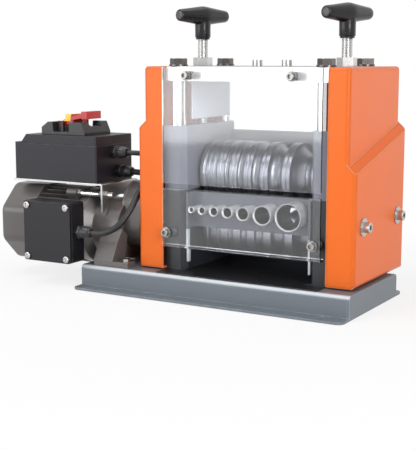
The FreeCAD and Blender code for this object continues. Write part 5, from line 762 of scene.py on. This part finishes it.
# Switch box: dark moulded box with a shallow lid, under a black switch with raised cheeks. A red
# flap covers the red stop button and the green start button.
FLAP_HINGE_END = -242.5
FLAP_RAISED = 216.6
switch_plastic = coated("switch_plastic", shade(28, 28, 35), shade(96, 98, 106), shade(60, 60, 64),
                        roughness=0.4, scale=1200, depth=0.15, coat=0.0, radius=0.0014, dust=0.08,
                        specular=0.35)
dress(switch_plastic, "switch_box", "switch_lid")
bezel_plastic = coated("bezel_plastic", shade(26, 26, 29), shade(84, 84, 90), shade(60, 60, 64),
                       roughness=0.36, scale=900, depth=0.1, coat=0.05, radius=0.0012)
dress(bezel_plastic, "switch_bezel")
red_plastic = coated("red_plastic", shade(186, 20, 22), shade(226, 60, 50), shade(190, 70, 60),
                     roughness=0.34, scale=500, depth=0.04, coat=0.2)
dress(red_plastic, "stop_button")
green_plastic = coated("green_plastic", shade(20, 110, 54), shade(60, 160, 90), shade(80, 130, 90),
                       roughness=0.34, scale=500, depth=0.04, coat=0.2)
dress(green_plastic, "start_button")
# the flap's hinge end is yellow, so one material takes both colours by the place along the flap
flap_plastic = coated("flap_plastic", shade(190, 20, 22), shade(226, 60, 50), shade(190, 70, 60),
                      roughness=0.34, scale=500, depth=0.04, coat=0.2)
tree = flap_plastic.node_tree
place = add(tree, "ShaderNodeTexCoord")
parts = add(tree, "ShaderNodeSeparateXYZ", {0: (place, "Object")})
hinge_end = add(tree, "ShaderNodeMath", {0: (parts, "X"), 1: FLAP_HINGE_END * MM},
                operation="LESS_THAN")
raised = add(tree, "ShaderNodeMath", {0: (parts, "Z"), 1: FLAP_RAISED * MM},
             operation="GREATER_THAN")
yellow_part = add(tree, "ShaderNodeMath", {0: (hinge_end, "Value"), 1: (raised, "Value")},
                  operation="MULTIPLY")
tint(flap_plastic, (yellow_part, "Value"), shade(250, 204, 60))
dress(flap_plastic, "stop_flap")


# Cable glands and link cable: black nylon glands with ribbed domes clamp the mains cord and the
# stiff rubber cable that runs between the two boxes.
GLAND_NUT = [(8.9, 0.0), (9.7, 0.6), (9.7, 6.2), (8.9, 6.9), (7.4, 7.0)]
GLAND_BODY = [(5.2, -5.8), (5.2, 0.0), (7.6, 0.05), (7.6, 8.2)]
GLAND_DOME = [(7.8, 7.9), (8.3, 8.4), (8.3, 14.6), (8.0, 16.0), (7.6, 18.6), (7.0, 21.0),
              (6.3, 22.8), (5.7, 23.7), (5.2, 24.0)]
DOME_SIDES = 32
RIB_BAND = (8.5, 14.5)
RIB_EDGE = 0.12
RIB_DEPTH = 0.55
LINK_BORE = 4.1
MAINS_BORE = 3.6


def ribbed_gland(bore):
    # every other side of the dome's band is pressed in, which leaves ribs between
    def pressed_in(face):
        turn = math.degrees(math.atan2(face.center.y, face.center.x))
        return (abs(face.normal.z) < 0.1 and RIB_BAND[0] * MM < face.center.z < RIB_BAND[1] * MM
                and round(turn * DOME_SIDES / 360 - 0.5) % 2 == 0)
    dome = turned_piece(GLAND_DOME + [(bore, 23.9), (bore, 20.0)], DOME_SIDES)
    bpy.ops.object.mode_set(mode="EDIT")
    choose(dome, pressed_in, "FACE")
    bpy.ops.mesh.inset(thickness=RIB_EDGE * MM, depth=-RIB_DEPTH * MM, use_individual=True)
    bpy.ops.object.mode_set(mode="OBJECT")
    return gather(turned_piece(GLAND_NUT, 6), turned_piece(GLAND_BODY, DOME_SIDES), dome)


gland_plastic = coated("gland_plastic", shade(30, 30, 33), shade(80, 80, 86), shade(56, 56, 60),
                       roughness=0.32, scale=700, depth=0.08, coat=0.1)
first_gland = ribbed_gland(LINK_BORE)
for word, gland, (x, y, z) in (("terminal", first_gland, (-198, -79, 74)),
                               ("link", copied(first_gland), (-184, -1, 149)),
                               ("mains", ribbed_gland(MAINS_BORE), (-184, -13, 176))):
    lay(gland, x * MM, y * MM, z * MM, (0, 90, 0))
    settle(gland, "ribbed_gland_" + word, 30)
    finish_with(gland, gland_plastic)
    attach(gland, "machine")
    if word == "terminal":
        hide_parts("cable_glands")
cable_rubber = coated("cable_rubber", shade(26, 26, 28), shade(56, 56, 60), shade(60, 60, 62),
                      roughness=0.42, scale=800, depth=0.1, coat=0.0)
dress(cable_rubber, "link_cable")


# Mains plug: moulded on the end of the cord, with a ringed strain relief, a round body with finger
# hollows, and two bright pins.
PLUG_PLACE = (70, 154.324, 10)
PLUG_TURN = 20
RELIEF_RINGS = 5
RING_PITCH = 4.4
RING_GROWTH = 0.55
PLUG_BODY = [(8.4, 24.4), (9.4, 25.4), (9.85, 27.2), (9.85, 32.0), (9.2, 34.5), (9.0, 40.0),
             (9.2, 45.5), (9.85, 48.0), (9.85, 53.6), (9.4, 55.3), (8.4, 56.0), (4.0, 56.0)]
PLUG_PIN = [(2.0, 55.0), (2.0, 73.6), (1.7, 74.5), (1.0, 75.0)]
PIN_OFFSET = 5.6
relief = [(4.6, 0.0), (4.9, 0.4)]
for ring in range(RELIEF_RINGS):
    height = 2.2 + ring * RING_PITCH
    radius = 5.0 + ring * RING_GROWTH
    relief += [(radius, height), (radius + 0.1, height + 2.6), (radius - 0.9, height + 2.8),
               (radius - 0.8, height + 4.1)]
plug_at = [c * MM for c in PLUG_PLACE]
plug = turned_piece(relief + PLUG_BODY, 40)
lay(plug, *plug_at, (0, 90, PLUG_TURN))
settle(plug, "moulded_plug", 40)
finish_with(plug, cable_rubber)
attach(plug, "machine")
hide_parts("mains_plug")
pin = turned_piece(PLUG_PIN, 20)
pins = [pin, copied(pin)]
for pin, way in zip(pins, (-1, 1)):
    lay(pin, 0, way * PIN_OFFSET * MM, 0)
    lay(pin, *plug_at, (0, 90, PLUG_TURN))
pins = gather(*pins)
settle(pins, "plug_pins", 40)
finish_with(pins, tube_chrome)
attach(pins, "machine")


# Mains cord: a round rubber cord that leaves the upper gland, runs down behind the left cover and
# lies in a neat coil on the bench, tied by a cloth strap, with its plug beside it.
CORD_RADIUS = 3.5 * MM
CORD_ROUTE = [(-160, -13, 176), (-147, -13, 176), (-132.5, -4.5, 175), (-124.5, 13, 171.5),
              (-125, 38, 160), (-130.5, 62, 138), (-135, 84, 106), (-132, 102, 70),
              (-122, 118, 38), (-105, 130, 14), (-82, 138.5, 4.8), (-63, 137.5, 3.6),
              (-48, 137.5, 3.6)]
TAIL_ROUTE = [(4, 137.5, 17.9), (19, 137.5, 17.9), (36, 141.5, 12), (54, 148.5, 10), PLUG_PLACE]
COIL_CENTRE = (-22, 182)
COIL_START = -90
COIL_STEP = 15
COIL_POINTS = 121
# radius and height of each layer, and the angles between which the cord changes to the next
COIL_LAYERS = [(44.5, 3.6), (37.4, 3.6), (37.4, 10.7), (44.5, 10.7), (37.4, 17.8), (44.5, 17.8)]
COIL_CHANGES = [(222, 262), (530, 572), (840, 882), (1150, 1192), (1460, 1502)]
CLIMBING_CHANGE = 3
COIL_SPREAD = 1.004
STRAP_REACH = (33.3, 48.9)
STRAP_WIDTH = 12
STRAP_FOOT = 0.05
STRAP_TOP = 22.0
STRAP_BEND = 4
STRAP_THICKNESS = 0.8


def coil_point(angle):
    # the cord keeps to one layer of the coil and eases into the next between the change angles
    radius, height = COIL_LAYERS[0]
    for change, (begins, ends) in enumerate(COIL_CHANGES):
        share = min(1.0, max(0.0, (angle - begins) / (ends - begins)))
        share = share * share * (3 - 2 * share)
        if share == 0.0:
            continue
        old_radius, old_height = COIL_LAYERS[change]
        new_radius, new_height = COIL_LAYERS[change + 1]
        radius = old_radius + (new_radius - old_radius) * share
        height = old_height + (new_height - old_height) * share
        if change == CLIMBING_CHANGE:
            # here it rises before it moves in, over the shoulder of the turn below
            lift = share * math.pi / 2
            radius = new_radius + (old_radius - new_radius) * math.cos(lift)
            height = old_height + (new_height - old_height) * math.sin(lift)
    turn = math.radians(angle)
    return (COIL_CENTRE[0] + radius * COIL_SPREAD * math.cos(turn),
            COIL_CENTRE[1] + radius * COIL_SPREAD * math.sin(turn), height)


coil = [coil_point(COIL_START + COIL_STEP * step) for step in range(COIL_POINTS)]
route = CORD_ROUTE + coil + TAIL_ROUTE
cord_curve = bpy.data.curves.new("mains_lead", "CURVE")
cord_curve.dimensions = "3D"
cord_curve.bevel_depth = CORD_RADIUS
cord_curve.bevel_resolution = 3
cord_curve.resolution_u = 6
cord_curve.use_fill_caps = True
spline = cord_curve.splines.new("NURBS")
spline.points.add(len(route) - 1)
for point, (x, y, z) in zip(spline.points, route):
    point.co = (x * MM, y * MM, z * MM, 1.0)
spline.order_u = 3
spline.use_endpoint_u = True
cord = bpy.data.objects.new("mains_lead", cord_curve)
bpy.context.scene.collection.objects.link(cord)
cord_curve.materials.append(cable_rubber)

# a soft strap holds the turns together on the side of the coil away from its two ends
strap_cloth = coated("strap_cloth", shade(38, 38, 42), shade(70, 70, 76), shade(80, 80, 84),
                     roughness=0.75, scale=2600, depth=0.5, coat=0.0, radius=0.0003, dust=0.15)
strap = open_block(
    (COIL_CENTRE[0] + sum(STRAP_REACH) / 2, COIL_CENTRE[1], (STRAP_TOP + STRAP_FOOT) / 2),
    (STRAP_REACH[1] - STRAP_REACH[0], STRAP_WIDTH, STRAP_TOP - STRAP_FOOT))
choose(strap, lambda face: abs(face.normal.y) > 0.9, "FACE")
bpy.ops.mesh.delete(type="FACE")
bpy.ops.mesh.select_mode(type="EDGE")
bpy.ops.mesh.select_all(action="SELECT")
bpy.ops.mesh.bevel(offset=STRAP_BEND * MM, segments=6, affect="EDGES")
bpy.ops.object.mode_set(mode="OBJECT")
wall = strap.modifiers.new("wall", "SOLIDIFY")
wall.thickness = STRAP_THICKNESS * MM
wall.offset = -1
bpy.ops.object.modifier_apply(modifier="wall")
settle(strap, "coil_strap", 40)
finish_with(strap, strap_cloth)
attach(strap, "machine")

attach(cord, "machine")
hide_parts("mains_cord", "cord_coil")


# Studio: a white floor that fades into a white surround. A tall key lamp stands to the right of the
# camera, one lamp hangs above, and soft boxes at the front left, high in front and behind on the
# right give the sheen.
FLOOR_SIZE = 14
SURROUND_LIGHT = 0.18


def seen_directly(tree):
    # 1 for a ray from the camera, from a reflection or through the clear guards
    path = add(tree, "ShaderNodeLightPath")
    seen = add(tree, "ShaderNodeMath", {
        0: (path, "Is Camera Ray"), 1: (path, "Is Glossy Ray")}, operation="MAXIMUM")
    return add(tree, "ShaderNodeMath", {
        0: (seen, "Value"), 1: (path, "Is Transmission Ray")}, operation="MAXIMUM")


floor_tone, tree, surface = new_finish("floor_tone")
place = add(tree, "ShaderNodeTexCoord")
mottle = add(tree, "ShaderNodeTexNoise", {"Vector": (place, "Object"), "Scale": 3.0, "Detail": 2.0})
reach = add(tree, "ShaderNodeVectorMath", {0: (place, "Object")}, operation="LENGTH")
faded = add(tree, "ShaderNodeMapRange", {
    "Value": (reach, "Value"), "From Min": 0.26, "From Max": 0.6, "To Min": 0.8, "To Max": 1.0})
tone = blend_colours(tree, (mottle, "Fac"), (0.9, 0.9, 0.9, 1.0), (0.92, 0.92, 0.92, 1.0))
fill(tree, surface, {"Base Color": tone, "Roughness": 0.9, "Specular IOR Level": 0.1})
glow = add(tree, "ShaderNodeEmission", {"Color": (1, 1, 1, 1), "Strength": 1.0})
share = add(tree, "ShaderNodeMath", {0: (seen_directly(tree), "Value"), 1: (faded, "Result")},
            operation="MULTIPLY")
lit = add(tree, "ShaderNodeMixShader", {
    0: (share, "Value"), 1: (surface, "BSDF"), 2: (glow, "Emission")})
fill(tree, tree.nodes["Material Output"], {"Surface": (lit, "Shader")})
bpy.ops.object.select_all(action="DESELECT")
bpy.ops.mesh.primitive_plane_add(size=FLOOR_SIZE, location=(0, 0, 0))
floor = bpy.context.object
floor.name = "floor"
finish_with(floor, floor_tone)

world = bpy.data.worlds.new("studio")
bpy.context.scene.world = world
world.use_nodes = True
tree = world.node_tree
tree.nodes.clear()
bright = add(tree, "ShaderNodeBackground", {"Color": (1, 1, 1, 1), "Strength": 1.0})
soft = add(tree, "ShaderNodeBackground", {"Color": (1, 1, 1, 1), "Strength": SURROUND_LIGHT})
either = add(tree, "ShaderNodeMixShader", {
    0: (seen_directly(tree), "Value"), 1: (soft, "Background"), 2: (bright, "Background")})
add(tree, "ShaderNodeOutputWorld", {"Surface": (either, "Shader")})


def lamp(name, place, aim, size, power):
    bpy.ops.object.select_all(action="DESELECT")
    bpy.ops.object.light_add(type="AREA", location=place)
    light = bpy.context.object
    light.name = name
    light.data.shape = "RECTANGLE"
    light.data.size, light.data.size_y = size
    light.data.energy = power
    light.rotation_euler = (Vector(aim) - Vector(place)).to_track_quat("-Z", "Y").to_euler()


lamp("key_lamp", (1.85, -1.25, 0.85), (0, 0, 0.15), (0.7, 1.6), 34)
lamp("front_left_box", (-1.45, -1.95, 0.6), (-0.1, 0, 0.15), (2.0, 1.4), 26)
lamp("front_high_box", (-0.9, -0.8, 2.0), (0, 0, 0.1), (1.4, 0.5), 14)
lamp("rear_right_box", (1.35, 1.85, 0.6), (0.1, 0, 0.17), (1.6, 1.2), 2)
lamp("top_lamp", (-0.1, 0.3, 2.2), (0, 0, 0.1), (1.6, 1.6), 12)

camera_data = bpy.data.cameras.new("camera")
camera_data.lens = 84.48
camera_data.sensor_width = 36
camera = bpy.data.objects.new("camera", camera_data)
camera.location = (0.6514, -1.1903, 0.3034)
camera.rotation_euler = (math.radians(80.97), 0, math.radians(30.224))
bpy.context.scene.collection.objects.link(camera)
bpy.context.scene.camera = camera
bpy.context.scene.view_settings.view_transform = "Standard"
